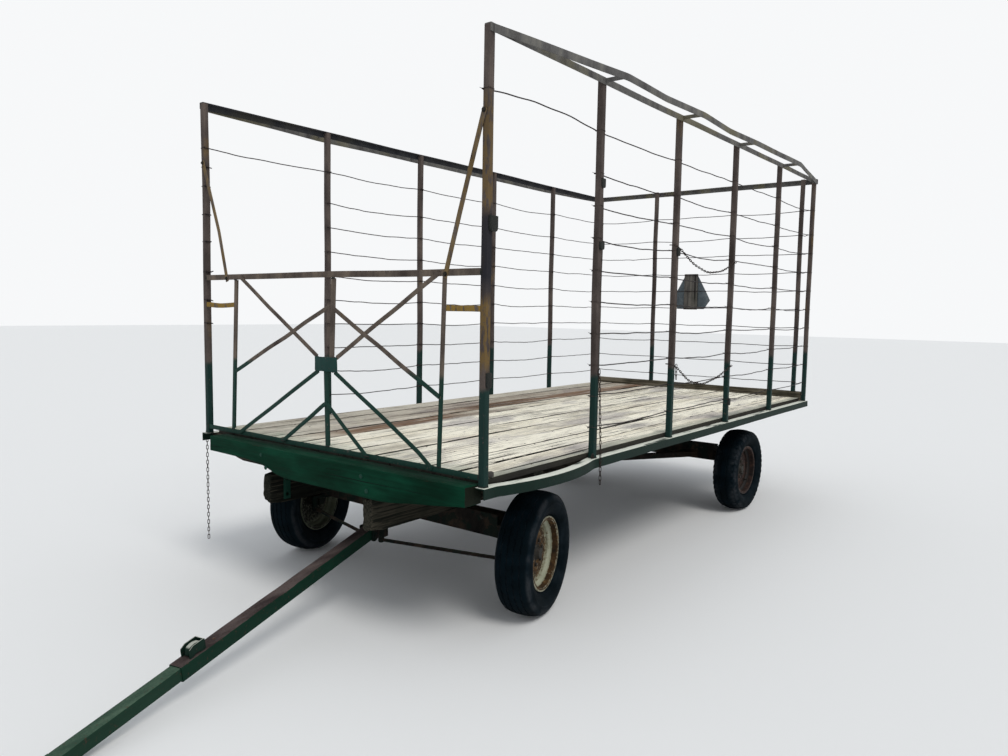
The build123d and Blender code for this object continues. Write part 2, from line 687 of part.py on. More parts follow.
def knuckle(side):
    """Forked knuckle with its kingpin, spindle and steering arm, drawn straight ahead."""
    x, y = side * KINGPIN_X, FRONT_AXLE_Y
    top, low = AXLE_TOP + FORK_GAP, AXLE_BOTTOM - FORK_GAP
    web = FORK_WEB + WEB_T

    def plate(x0, x1, y0, y1, z0, z1):
        a, b = sorted((x + side * x0, x + side * x1))
        return block(a, b, y + y0, y + y1, z0, z1)

    pieces = [
        plate(0, web, -BOSS_R, BOSS_R, top, top + FORK_T),
        plate(0, web, -BOSS_R, BOSS_R, low - FORK_T, low),
        upright(x, y, top, top + FORK_T, BOSS_R),
        upright(x, y, low - FORK_T, low, BOSS_R),
        plate(FORK_WEB, web, -BOSS_R, BOSS_R, WHEEL_Z - 32, top + FORK_T),
        upright(x, y, low - FORK_T, top + FORK_T, KINGPIN_R),
    ]
    a, b = sorted((x + side * FORK_WEB, side * (TRACK_X + HUB_OUT)))
    pieces.append(across(a, b, y, WHEEL_Z, SPINDLE_R))
    pin_x = x + side * ARM_SIDE
    pieces.append(plate(ARM_SIDE - ARM_W / 2, ARM_SIDE + ARM_W / 2, -ARM, 0, low - FORK_T, low))
    pieces.append(upright(pin_x, y - ARM, EYE_TOP + FORK_GAP, low, ARM_W / 2))
    pieces += rod_pin(pin_x, y - ARM)
    return joined(pieces)


def rod_pin(x, y):
    """Pin that hangs down through a tie rod's eye, with its head below."""
    pin = upright(x, y, EYE_LOW - FORK_GAP, EYE_TOP + FORK_GAP, ROD_PIN_R)
    head = upright(x, y, EYE_LOW - FORK_GAP - PIN_HEAD_T, EYE_LOW - FORK_GAP, ROD_PIN_R + 5)
    return [pin, head]


def tie_rod(side):
    """Rod from the steering yoke to a knuckle's arm, drawn straight ahead."""
    ends = ((side * ARM_SIDE, YOKE_Y - ARM), (side * (KINGPIN_X + ARM_SIDE), FRONT_AXLE_Y - ARM))
    pieces = [rod(*[(x, y, ROD_Z) for x, y in ends], ROD_R)]
    for x, y in ends:
        pieces.append(upright(x, y, ROD_Z - EYE_T / 2, ROD_Z + EYE_T / 2, EYE_R))
    whole = joined(pieces)
    for x, y in ends:
        whole = whole - upright(x, y, ROD_Z - EYE_T, ROD_Z + EYE_T, ROD_PIN_R + RUNNING)
    return whole


def placed_tie_rod(side):
    """The tie rod moves with the arms and keeps its own direction."""
    a = Vector(side * ARM_SIDE, -ARM, 0)
    turn = a.rotate(Axis.Z, STEER) - a
    return Pos(turn.X, turn.Y, 0) * tie_rod(side)


def steering_yoke():
    """Block on the steering pin, with lugs for the tongue and a plate for the tie rods' pins."""
    z_top = AXLE_TOP - BRACKET_T - FORK_GAP
    z_low = AXLE_BOTTOM + 6 + FORK_GAP
    lug_in = SLEEVE / 2 + 2
    lug_out = lug_in + LUG_T
    y_web = YOKE_Y - BRACKET_R - 12
    lug_end = YOKE_Y - PITCH_PIN - 32
    lug_z = PITCH_Z - LUG_H / 2
    pieces = [
        upright(0, YOKE_Y, z_low, z_top, BRACKET_R - 6),
        block(-lug_out, lug_out, y_web, YOKE_Y - 20, z_low, z_top),
        block(-lug_out, lug_out, y_web - 22, y_web, lug_z, z_top),
        block(-lug_out, lug_out, YOKE_Y - ARM - ARM_W / 2, y_web, lug_z - BRACKET_T, lug_z),
    ]
    for side in (-1, 1):
        low, high = sorted((side * lug_in, side * lug_out))
        pieces.append(block(low, high, lug_end, y_web, lug_z, lug_z + LUG_H))
        pin_x = side * ARM_SIDE
        pieces.append(upright(pin_x, YOKE_Y - ARM, EYE_TOP + FORK_GAP, lug_z - BRACKET_T, ROD_PIN_R + 5))
        pieces += rod_pin(pin_x, YOKE_Y - ARM)
    pieces.append(across(-lug_out - 8, lug_out + 8, YOKE_Y - PITCH_PIN, PITCH_Z, PITCH_PIN_R))
    whole = joined(pieces)
    return whole - upright(0, YOKE_Y, z_low - 60, z_top + 60, KINGPIN_R + RUNNING)


def tongue_drop():
    """Angle in degrees at which the tongue's tip lies on the ground."""
    length = HITCH - PITCH_PIN
    half = EAR_GAP / 2 + EAR_T
    height = PITCH_Z - GROUND_Z
    return math.degrees(math.asin(height / math.hypot(length, half)) - math.atan2(half, length))


def lowered(shape):
    """A tongue piece drawn level, lowered to the ground and turned with the steering."""
    y = YOKE_Y - PITCH_PIN
    tilted = Pos(0, y, PITCH_Z) * Rot(tongue_drop(), 0, 0) * Pos(0, -y, -PITCH_Z) * shape
    return steered(tilted, 0, YOKE_Y)


def tongue_sleeve():
    """Square outer tube of the tongue."""
    half, inner = SLEEVE / 2, SLEEVE / 2 - SLEEVE_WALL
    y_pin = YOKE_Y - PITCH_PIN
    y0, y1 = YOKE_Y - SLEEVE_END, y_pin + SLEEVE_TAIL
    tube = block(-half, half, y0, y1, PITCH_Z - half, PITCH_Z + half)
    tube = tube - block(-inner, inner, y0 - 1, y1 + 1, PITCH_Z - inner, PITCH_Z + inner)
    pin_tube = across(-half, half, y_pin, PITCH_Z, PITCH_PIN_R + 8)
    return (tube + pin_tube) - across(-half - 1, half + 1, y_pin, PITCH_Z, PITCH_PIN_R + RUNNING)


def tongue_latch():
    """Bent housing on the sleeve's top that covers the bar's latch, with its lever."""
    y0 = YOKE_Y - SLEEVE_END + LATCH_BACK - LATCH_L
    y1 = y0 + LATCH_L
    z0 = PITCH_Z + SLEEVE / 2
    half = LATCH_W / 2
    shell = block(-half, half, y0, y1, z0, z0 + LATCH_H)
    shell = shell - block(-half + 5, half - 5, y0 - 1, y1 - 5, z0, z0 + LATCH_H - 5)
    lever = block(-half + 12, half - 12, y0 + 10, y0 + 20, z0, z0 + LATCH_H - 4)
    return shell + lever


def tongue_bar():
    """Inner bar that slides in the sleeve, ending in the hitch clevis."""
    half = SLEEVE / 2 - SLEEVE_WALL - BAR_ROOM
    y_tip = YOKE_Y - HITCH
    y_root = YOKE_Y - SLEEVE_END + BAR_INSIDE
    y_shoulder = y_tip + EAR_L
    inner = half - BAR_WALL
    bar = block(-half, half, y_shoulder, y_root, PITCH_Z - half, PITCH_Z + half)
    bar = bar - block(-inner, inner, y_shoulder + 10, y_root + 1, PITCH_Z - inner, PITCH_Z + inner)
    pieces = [bar]
    hole_y = y_tip + half
    for z in (PITCH_Z + EAR_GAP / 2, PITCH_Z - EAR_GAP / 2 - EAR_T):
        pieces.append(block(-half, half, hole_y, y_shoulder, z, z + EAR_T))
        pieces.append(upright(0, hole_y, z, z + EAR_T, half))
    return joined(pieces) - upright(0, hole_y, PITCH_Z - SLEEVE, PITCH_Z + SLEEVE, HITCH_HOLE_R)


def tyre():
    """Tyre about the X axis, centred on the origin."""
    half, tread = TYRE_W / 2, TREAD_W / 2
    bead = RIM_W / 2 - 14
    profile = make_face([
        Line((-bead, BEAD_R), (-bead - 6, FLANGE_R + 6)),
        ThreePointArc((-bead - 6, FLANGE_R + 6), (-half, 288), (-tread, WHEEL_R - 12)),
        ThreePointArc((-tread, WHEEL_R - 12), (0, WHEEL_R), (tread, WHEEL_R - 12)),
        ThreePointArc((tread, WHEEL_R - 12), (half, 288), (bead + 6, FLANGE_R + 6)),
        Line((bead + 6, FLANGE_R + 6), (bead, BEAD_R)),
        Line((bead, BEAD_R), (-bead, BEAD_R)),
    ])
    return revolve(profile, axis=Axis.X)


def rim(side):
    """Disc wheel about the X axis: flanges, well, disc and hub with its bore."""
    w = RIM_W / 2
    seat = BEAD_R - SEAT
    skin = seat - RIM_WALL
    barrel = make_face(Polyline(
        (-w, FLANGE_R), (-w + 8, FLANGE_R), (-w + 8, seat), (-30, seat), (-22, WELL_R), (22, WELL_R), (30, seat),
        (w - 8, seat), (w - 8, FLANGE_R), (w, FLANGE_R), (w, skin), (26, skin), (19, WELL_R - RIM_WALL),
        (-19, WELL_R - RIM_WALL), (-26, skin), (-w, skin), close=True,
    ))
    disc = make_face(Polyline(
        (DISC_OUT - DISC_T, SPINDLE_R), (DISC_OUT, SPINDLE_R), (DISC_OUT, 118), (4, 150), (4, WELL_R - 2),
        (-4, WELL_R - 2), (-4, 146), (DISC_OUT - DISC_T, 114), close=True,
    ))
    hub = make_face(Polyline(
        (-HUB_IN, SPINDLE_R), (-HUB_IN, HUB_R), (HUB_OUT - 22, HUB_R), (HUB_OUT, HUB_R - 12), (HUB_OUT + 8, HUB_R - 14),
        (HUB_OUT + 8, 0), (HUB_OUT + 1, 0), (HUB_OUT + 1, SPINDLE_R), close=True,
    ))
    whole = revolve(barrel, axis=Axis.X) + revolve(disc, axis=Axis.X) + revolve(hub, axis=Axis.X)
    whole = whole - across(-HUB_IN - 1, HUB_OUT + 1, 0, 0, SPINDLE_R + RUNNING)
    return whole if side > 0 else mirrored(whole)


def wheel_place(shape, side, y):
    """A wheel's piece at its axle, turned with the steering at the front."""
    placed = Pos(side * TRACK_X, y, WHEEL_Z) * shape
    return steered(placed, side * KINGPIN_X, y) if y == FRONT_AXLE_Y else placed


os.makedirs("parts", exist_ok=True)

NODES = {
    "deck_planks": deck_planks(),
    "cross_bearers": cross_bearers(),
    "front_beam": front_beam(),
    "rear_board": rear_board(),
    "main_sills": main_sills(),
    "sill_straps": sill_straps(),
    "edge_rail_left": edge_rail(BULGE),
    "edge_rail_right": mirrored(edge_rail(0)),
    "posts_left": side_posts(1),
    "posts_right": side_posts(-1),
    "posts_rear": rear_posts(),
    "top_rail_left": top_rail(1),
    "top_rail_right": top_rail(-1),
    "top_rail_rear": top_rail_rear(),
    "bow_rails": bow_rail(1, BOW_LEFT) + bow_rail(-1, BOW_RIGHT),
    "gate_frame": gate_frame(),
    "gate_braces": gate_braces(),
    "post_braces": post_braces(),
    "wires_left": side_wires(1),
    "wires_right": side_wires(-1),
    "wires_rear": rear_wires(),
    "rack_chains": rack_chains(),
    "rear_sign": rear_sign(),
    "bolsters": bolsters(),
    "axle_front": axle_front(),
    "axle_rear": axle_rear(),
    "reach_pole": reach_pole(),
    "hounds": hounds(),
    "knuckle_left": steered(knuckle(1), KINGPIN_X, FRONT_AXLE_Y),
    "knuckle_right": steered(knuckle(-1), -KINGPIN_X, FRONT_AXLE_Y),
    "tie_rod_left": placed_tie_rod(1),
    "tie_rod_right": placed_tie_rod(-1),
    "steering_yoke": steered(steering_yoke(), 0, YOKE_Y),
    "tongue_sleeve": lowered(tongue_sleeve()),
    "tongue_latch": lowered(tongue_latch()),
    "tongue_bar": lowered(tongue_bar()),
}

# columns: name of the corner, side, axle's y
CORNERS = (
    ("front_left", 1, FRONT_AXLE_Y),
    ("front_right", -1, FRONT_AXLE_Y),
    ("rear_left", 1, REAR_AXLE_Y),
    ("rear_right", -1, REAR_AXLE_Y),
)
for corner, side, axle_y in CORNERS:
    NODES[f"tyre_{corner}"] = wheel_place(tyre(), side, axle_y)
    NODES[f"rim_{corner}"] = wheel_place(rim(side), side, axle_y)

for node, shape in NODES.items():
    solids = shape if isinstance(shape, list) else [shape]
    export_step(Compound(children=solids), f"parts/{node}.step")

print("nodes", len(NODES))
print("tongue drop", round(tongue_drop(), 3), "degrees")
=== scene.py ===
# %% [markdown]
# # A hay wagon drawn as surfaces
#
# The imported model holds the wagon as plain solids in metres: +Z is up, the front faces -Y and
# +X is the wagon's left. This lesson gives every solid its finish, and replaces most of them
# with surfaces worked out as whole arrays of points, so that planks cup, angle iron has
# rolled edges and chains have links. A surface that takes a solid's place has that solid's
# own sizes and places.

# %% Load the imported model
import math

import bmesh
import bpy
import numpy as np
from mathutils import Matrix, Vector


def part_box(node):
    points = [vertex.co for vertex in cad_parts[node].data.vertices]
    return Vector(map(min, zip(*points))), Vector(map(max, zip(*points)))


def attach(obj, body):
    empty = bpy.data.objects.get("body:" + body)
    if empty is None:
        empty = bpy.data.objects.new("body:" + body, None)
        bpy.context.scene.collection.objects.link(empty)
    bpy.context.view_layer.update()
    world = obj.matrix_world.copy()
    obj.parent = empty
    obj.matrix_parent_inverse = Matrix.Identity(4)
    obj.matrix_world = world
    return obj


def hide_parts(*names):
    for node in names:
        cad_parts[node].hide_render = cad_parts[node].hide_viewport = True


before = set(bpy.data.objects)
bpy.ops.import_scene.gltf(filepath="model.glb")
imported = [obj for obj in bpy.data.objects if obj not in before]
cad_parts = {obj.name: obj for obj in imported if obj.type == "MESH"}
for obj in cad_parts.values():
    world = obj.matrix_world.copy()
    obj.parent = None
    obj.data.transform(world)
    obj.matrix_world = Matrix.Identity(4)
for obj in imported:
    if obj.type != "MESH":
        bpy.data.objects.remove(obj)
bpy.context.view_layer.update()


# %% [markdown]
# ## Camera
#
# A photograph fixes where the camera stood. Its three directions are columns of a matrix:
# right, up and backwards. Backwards comes from two angles (how far round, how far up), right
# is square to it and to the vertical, and a small roll turns both about the line of sight.
# Setting the matrix is safer than aiming by a constraint, because nothing has to update.

# %% Camera
CAMERA_PLACE = (3.561, -5.420, 0.842)
azimuth, elevation, roll = np.radians((37.87, 5.10, 0.954))
backward = np.array([
    np.sin(azimuth) * np.cos(elevation), -np.cos(azimuth) * np.cos(elevation), np.sin(elevation),
])
right = np.cross((0, 0, 1), backward)
right /= np.linalg.norm(right)
upward = np.cross(backward, right)
columns = (
    np.cos(roll) * right + np.sin(roll) * upward,
    np.cos(roll) * upward - np.sin(roll) * right,
    backward,
)
pose = np.eye(4)
pose[:3, :3] = np.array(columns).T
pose[:3, 3] = CAMERA_PLACE
camera = bpy.data.objects.new("camera", bpy.data.cameras.new("camera"))
camera.data.sensor_width = 36
camera.data.lens = 27.33
camera.matrix_world = Matrix(pose.tolist())
bpy.context.scene.collection.objects.link(camera)
bpy.context.scene.camera = camera
print("camera at", pose[:3, 3])


# %% [markdown]
# ## Floor and light
#
# The wagon stands in a pale, plain studio. The world gives an even light from all sides, and
# one broad sun adds enough direction for edges to read. Rays that the camera, a gloss or a
# glass sends out see a brighter, near-white world instead, which is how a background gets
# pale without more light falling on the wagon. The floor is one flat sheet that keeps the
# shadow.

# %% Floor and light
GROUND = -0.95


def background_share(tree):
    """1 for rays that only look, 0 for rays that light: camera, glossy and transmission."""
    rays = tree.nodes.new("ShaderNodeLightPath")
    total = rays.outputs["Is Camera Ray"]
    for name in ("Is Glossy Ray", "Is Transmission Ray"):
        most = tree.nodes.new("ShaderNodeMath")
        most.operation = "MAXIMUM"
        tree.links.new(total, most.inputs[0])
        tree.links.new(rays.outputs[name], most.inputs[1])
        total = most.outputs[0]
    return total


world = bpy.data.worlds.new("studio")
world.use_nodes = True
tree = world.node_tree
lighting = tree.nodes["Background"]
lighting.inputs["Color"].default_value = (0.94, 0.97, 1.0, 1)
lighting.inputs["Strength"].default_value = 0.70
pale = tree.nodes.new("ShaderNodeBackground")
pale.inputs["Color"].default_value = (0.93, 0.94, 0.95, 1)
either = tree.nodes.new("ShaderNodeMixShader")
tree.links.new(background_share(tree), either.inputs[0])
tree.links.new(lighting.outputs[0], either.inputs[1])
tree.links.new(pale.outputs[0], either.inputs[2])
tree.links.new(either.outputs[0], tree.nodes["World Output"].inputs["Surface"])
bpy.context.scene.world = world

sun = bpy.data.objects.new("sun", bpy.data.lights.new("sun", "SUN"))
sun.data.energy = 1.25
sun.data.angle = math.radians(24)
sun.data.color = (1.0, 0.97, 0.92)
sun.rotation_euler = (math.radians(38), math.radians(4), math.radians(66))
bpy.context.scene.collection.objects.link(sun)

span = 60.0
floor_corners = [(span * x, span * y, GROUND) for x, y in ((-1, -1), (1, -1), (1, 1), (-1, 1))]
floor_mesh = bpy.data.meshes.new("floor")
floor_mesh.from_pydata(floor_corners, [], [(0, 1, 2, 3)])
floor = bpy.data.objects.new("floor", floor_mesh)
floor_finish = bpy.data.materials.new("floor")
floor_finish.use_nodes = True
floor_shader = floor_finish.node_tree.nodes["Principled BSDF"]
floor_shader.inputs["Base Color"].default_value = (0.80, 0.81, 0.82, 1)
floor_shader.inputs["Roughness"].default_value = 0.95
floor_shader.inputs["Specular IOR Level"].default_value = 0.1
floor_mesh.materials.append(floor_finish)
bpy.context.scene.collection.objects.link(floor)
bpy.context.scene.view_settings.view_transform = "Standard"
print("floor at", GROUND)


# %% [markdown]
# ## Unevenness that comes out the same every time
#
# Old timber and steel are never straight. A sum of a few sines, each running in its own
# random direction, gives a smooth uneven value anywhere in space. It needs no table and no
# loop over points, and a fixed seed makes each run alike.

# %% Unevenness
def ripple(places, size, seed):
    """Smooth values mostly from -1 to 1: the sum of sixteen sines of the place, each along its own
    random direction, divided by three. size is how far apart the swells are, for all axes or each."""
    dice = np.random.default_rng(seed)
    waves = dice.normal(size=(3, 16)) / np.broadcast_to(size, 3)[:, None]
    return np.sin(np.asarray(places) @ waves * 2.2 + dice.uniform(0, 6.283, 16)).sum(-1) / 3


print("ripple", np.round(ripple(np.eye(3), 0.5, 1), 2))


# %% [markdown]
# ## Outlines
#
# A bar is an outline carried along a line. The outline is a list of corners in two
# dimensions. Rolled steel and sawn timber have no sharp corners, so every corner is replaced
# by a short curve. Long sides can be given more points where a surface has to bend.

# %% Outlines
def rounded(corners, radius, steps=3):
    """Each corner c becomes c + r((1-t)² back + t² on), with t from 0 to 1, and back and on the
    directions of its two sides. radius is one number or one per corner."""
    c = np.asarray(corners, float)
    r = np.broadcast_to(radius, len(c))[:, None, None]
    back, on = np.roll(c, 1, 0) - c, np.roll(c, -1, 0) - c
    back, on = (v[:, None] / np.linalg.norm(v, axis=1)[:, None, None] for v in (back, on))
    t = np.linspace(0, 1, steps)[None, :, None]
    return (c[:, None] + r * ((1 - t) ** 2 * back + t ** 2 * on)).reshape(-1, 2)


def spread(outline, step):
    """The same outline with points added along it, one for each step of its length."""
    loop = np.vstack([outline, outline[:1]])
    along = np.append(0, np.cumsum(np.linalg.norm(np.diff(loop, axis=0), axis=1)))
    extra = np.arange(step, along[-1], step)
    extra = extra[np.abs(extra[:, None] - along).min(1) > step / 4]
    s = np.sort(np.append(along[:-1], extra))
    return np.stack([np.interp(s, along, loop[:, k]) for k in (0, 1)], -1)


def flat_section(width, thick, radius):
    """Rectangle about its middle with rounded corners."""
    u, v = width / 2, thick / 2
    return rounded([(-u, -v), (u, -v), (u, v), (-u, v)], radius)


def angle_section(leg_a, leg_b, wall):
    """Rolled angle iron from its outer corner: crisp heel, rounded toes and a fillet inside."""
    corners = [(0, 0), (leg_a, 0), (leg_a, wall), (wall, wall), (wall, leg_b), (0, leg_b)]
    return rounded(corners, [wall * k for k in (0.35, 0.2, 0.6, 0.9, 0.6, 0.2)])


def circle(radius, count, start=0.0):
    """Points round a circle, from the angle start."""
    turn = start + np.arange(count) * 2 * np.pi / count
    return radius * np.stack([np.cos(turn), np.sin(turn)], -1)


print("angle section", len(angle_section(0.038, 0.038, 0.005)), "points")


# %% [markdown]
# ## Surfaces
#
# A surface is a grid: stations along the bar by points round the outline. Neighbouring rings
# are joined by four-cornered faces and each end gets one face. Whether such a shell faces
# outwards shows in its signed volume, so it is measured and turned when negative. A ring
# shape, such as a tyre, joins its last station to its first and has no ends.

# %% Surfaces
def skin(rings, loop=False):
    """Shell over rings (stations, round, 3) as (points, corners, face sizes). The volume is the sum
    of p0 · (p1 × p2 + p2 × p3) over the faces, seen from the shell's middle."""
    count, around = rings.shape[:2]
    grid = np.arange(count * around).reshape(count, around)
    ahead = np.roll(grid, -1, 0) if loop else grid[1:]
    behind = grid if loop else grid[:-1]
    quads = np.stack([behind, np.roll(behind, -1, 1), np.roll(ahead, -1, 1), ahead], -1).reshape(-1, 4)
    points = rings.reshape(-1, 3)
    ends = [] if loop else [grid[0][::-1], grid[-1]]
    corners = np.concatenate([quads.ravel(), *ends])
    sizes = np.append(np.full(len(quads), 4), [around] * len(ends)).astype(int)
    p = (points - points.mean(0))[quads]
    volume = (p[:, 0] * (np.cross(p[:, 1], p[:, 2]) + np.cross(p[:, 2], p[:, 3]))).sum()
    return (points, corners[::-1], sizes[::-1]) if volume < 0 else (points, corners, sizes)


def unit(vectors):
    """Vectors made one long."""
    return vectors / np.linalg.norm(vectors, axis=-1, keepdims=True)


def trace(points, step=0.05, ease=0.0):
    """Places every step along straight runs between points. Each is the mean of the line within ease
    of it, so that a corner becomes a bend, and less near the ends, which stay where they are."""
    p = np.asarray(points, float)
    along = np.append(0, np.cumsum(np.linalg.norm(np.diff(p, axis=0), axis=1)))
    s = np.linspace(0, along[-1], max(2, int(np.ceil(along[-1] / step)) + 1))
    reach = np.minimum(ease, np.minimum(s, along[-1] - s))
    spots = s[:, None] + reach[:, None] * np.linspace(-1, 1, 9)
    return np.stack([np.interp(spots, along, p[:, k]).mean(1) for k in range(3)], -1)


def carry(outline, path, across=None, other=None, grow=1.0):
    """Rings of an outline along a path: path + grow (u across + v other). The direction that isn't
    given is square to the path and to the one that is."""
    path = np.asarray(path, float)
    run = unit(np.gradient(path, axis=0))
    if across is None:
        across = unit(np.cross(other, run))
    across = np.broadcast_to(np.asarray(across, float), path.shape)
    other = unit(np.cross(run, across)) if other is None else np.broadcast_to(other, path.shape)
    grow = np.broadcast_to(grow, len(path))[:, None, None]
    return path[:, None] + grow * (outline[:, :1] * across[:, None] + outline[:, 1:] * other[:, None])


def copies(shell, turns, places):
    """One shell at many places: point p of copy k is turns[k] p + places[k]."""
    points, corners, sizes = shell
    places = np.asarray(places, float).reshape(-1, 3)
    turns = np.broadcast_to(turns, (len(places), 3, 3))
    moved = np.einsum("kij,nj->kni", turns, points) + places[:, None]
    shift = np.arange(len(places))[:, None] * len(points)
    return moved.reshape(-1, 3), (corners + shift).ravel(), np.tile(sizes, len(places))


def moved(shell, change):
    """The same shell with change applied to its points."""
    return change(shell[0]), shell[1], shell[2]


bar_path = trace([(0, 0, 0), (0, 0, 1)])
print("skin of a bar", len(skin(carry(circle(0.01, 8), bar_path, (1, 0, 0)))[0]), "points")


# %% [markdown]
# ## From arrays to an object
#
# `foreach_set` hands a whole array to Blender at once. Every piece made here rides on a body
# of the model and may stand for some of its solids, which are then hidden. Each shell of a
# piece also gets its own random number, stored as the attribute `own`, so that one material
# can give neighbouring planks or bars different tones.

# %% From arrays to an object
def make(name, shells, body, finish, stands_for=(), crease=40, marks=None):
    """One mesh object from shells. Surfaces are smooth except along creases sharper than crease
    degrees. marks are further attributes, one value per point."""
    lengths = [len(shell[0]) for shell in shells]
    starts = np.cumsum([0] + lengths[:-1])
    points = np.concatenate([shell[0] for shell in shells])
    corners = np.concatenate([shell[1] + start for shell, start in zip(shells, starts)])
    sizes = np.concatenate([shell[2] for shell in shells])
    mesh = bpy.data.meshes.new(name)
    mesh.vertices.add(len(points))
    mesh.vertices.foreach_set("co", points.astype(np.float32).ravel())
    mesh.loops.add(len(corners))
    mesh.loops.foreach_set("vertex_index", corners.astype(np.int32))
    mesh.polygons.add(len(sizes))
    mesh.polygons.foreach_set("loop_start", (np.cumsum(sizes) - sizes).astype(np.int32))
    mesh.update(calc_edges=True)
    dice = np.random.default_rng(len(name) + len(points))
    values = {"own": np.repeat(dice.random(len(shells)), lengths), **(marks or {})}
    for key, value in values.items():
        mesh.attributes.new(key, "FLOAT", "POINT").data.foreach_set("value", value.astype(np.float32))
    mesh.shade_smooth()
    mesh.set_sharp_from_angle(angle=math.radians(crease))
    mesh.materials.append(finish)
    piece = bpy.data.objects.new(name, mesh)
    bpy.context.scene.collection.objects.link(piece)
    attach(piece, body)
    if stands_for:
        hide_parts(*stands_for)
    print(name, "triangles", int((sizes - 2).sum()))
    return piece


# %% [markdown]
# ## Finishes
#
# A finish is a small graph: patterns that depend on the place, mixed into a colour, a
# roughness and a height for the bump. All patterns read Object coordinates. Because every
# piece's object stays at the origin, those are the wagon's own metres, so a pattern can ask
# how high or how far forward it is. The class below only shortens the writing: each method
# adds one node and returns its output.

# %% A short way to write finishes
def rgb(red, green, blue):
    """A colour as a screen shows it, 0 to 255, as the light value that a shader wants: c / 12.92 where
    dark and ((c + 0.055) / 1.055) ** 2.4 elsewhere."""
    c = np.array([red, green, blue]) / 255
    c = np.where(c <= 0.04045, c / 12.92, ((c + 0.055) / 1.055) ** 2.4)
    return (*(float(v) for v in c), 1.0)


class Finish:
    """A material's graph."""

    def __init__(self, name, metallic=0.0, specular=0.5):
        self.material = bpy.data.materials.new(name)
        self.material.use_nodes = True
        self.tree = self.material.node_tree
        self.shader = self.tree.nodes["Principled BSDF"]
        self.shader.inputs["Metallic"].default_value = metallic
        self.shader.inputs["Specular IOR Level"].default_value = specular
        coordinates = self.tree.nodes.new("ShaderNodeTexCoord")
        self.place = coordinates.outputs["Object"]
        self.facing = coordinates.outputs["Normal"]

    def add(self, kind, inputs, output=0, **settings):
        """One node; inputs pairs a socket's number or name with a value or another node's output."""
        node = self.tree.nodes.new("ShaderNode" + kind)
        for key, value in settings.items():
            setattr(node, key, value)
        for key, value in inputs.items():
            if isinstance(value, bpy.types.NodeSocket):
                self.tree.links.new(value, node.inputs[key])
            else:
                node.inputs[key].default_value = value
        return node.outputs[output]

    def spot(self, size, seed=0.0):
        """The place, counted in steps of size, and moved aside by seed."""
        scale = tuple(1 / s for s in np.broadcast_to(size, 3).astype(float))
        return self.add("Mapping", {"Vector": self.place, "Scale": scale,
                                    "Location": (seed, seed * 1.7, -seed)})

    def noise(self, size, seed=0.0, detail=4.0, rough=0.55, bend=0.0):
        """Clouds about size across, from 0 to 1, mostly from 0.3 to 0.7."""
        inputs = {"Vector": self.spot(size, seed), "Scale": 1.0, "Detail": detail, "Roughness": rough,
                  "Distortion": bend}
        return self.add("TexNoise", inputs)

    def cells(self, size, seed=0.0, feature="F1"):
        """Distance to scattered points, or to the borders between their cells."""
        return self.add("TexVoronoi", {"Vector": self.spot(size, seed), "Scale": 1.0}, feature=feature)

    def along(self, axis, source=None):
        """One coordinate of the place, or of the way that the surface faces."""
        return self.add("SeparateXYZ", {0: self.place if source is None else source}, "XYZ".index(axis))

    def mark(self, name):
        """A piece's own attribute."""
        return self.add("Attribute", {}, 2, attribute_name=name)

    def step(self, value, low, high):
        """A soft step: 0 below low, 1 above high. low above high turns it over."""
        if low > high:
            return self.less(1.0, self.step(value, high, low))
        return self.add("MapRange", {0: value, 1: low, 2: high}, interpolation_type="SMOOTHSTEP")

    def sum(self, a, b, share=1.0):
        """a + share b."""
        return self.add("Math", {0: b, 1: share, 2: a}, operation="MULTIPLY_ADD")

    def less(self, a, b):
        """a - b."""
        return self.add("Math", {0: a, 1: b}, operation="SUBTRACT")

    def times(self, a, b):
        """a b."""
        return self.add("Math", {0: a, 1: b}, operation="MULTIPLY")

    def most(self, a, b):
        """The greater of two."""
        return self.add("Math", {0: a, 1: b}, operation="MAXIMUM")

    def over(self, share, below, above):
        """The colour above laid over the colour below, share of it."""
        return self.add("Mix", {0: share, 6: below, 7: above}, 2, data_type="RGBA")

    def coat(self, colour, share, most, tone):
        """The colour with tone laid over it: most where share is 1."""
        return self.over(self.times(share, most), colour, tone)

    def shades(self, value, stops):
        """A run of colours: stops pairs a value with the colour there."""
        ramp = self.tree.nodes.new("ShaderNodeValToRGB")
        self.tree.links.new(value, ramp.inputs[0])
        for _ in stops[2:]:
            ramp.color_ramp.elements.new(1.0)
        for element, (spot, colour) in zip(ramp.color_ramp.elements, stops):
            element.position = spot
            element.color = colour
        return ramp.outputs[0]

    def done(self, colour, roughness, height, depth):
        """Wires the shader up; depth is how far the bump's height of 1 stands out, in metres."""
        self.tree.links.new(colour, self.shader.inputs["Base Color"])
        if isinstance(roughness, bpy.types.NodeSocket):
            self.tree.links.new(roughness, self.shader.inputs["Roughness"])
        else:
            self.shader.inputs["Roughness"].default_value = roughness
        bump = self.add("Bump", {"Height": height, "Distance": depth, "Strength": 1.0})
        self.tree.links.new(bump, self.shader.inputs["Normal"])
        return self.material


print("a grey of 128 is the light value", round(rgb(128, 128, 128)[0], 3))


# %% [markdown]
# ## Weathered planks
#
# The deck has been grey for years. Rain lifts the grain, so streaks run along each plank, a
# few of them open into dark checks, and the boards keep tones of their own: most are pale
# cream, some lilac-grey, and a few near the right edge are worn to rust-brown wood. Noise
# that is stretched a hundred times along Y looks like grain, and a narrow band cut out of
# such noise looks like a crack. The `own` and `brown` attributes set a plank's tone.

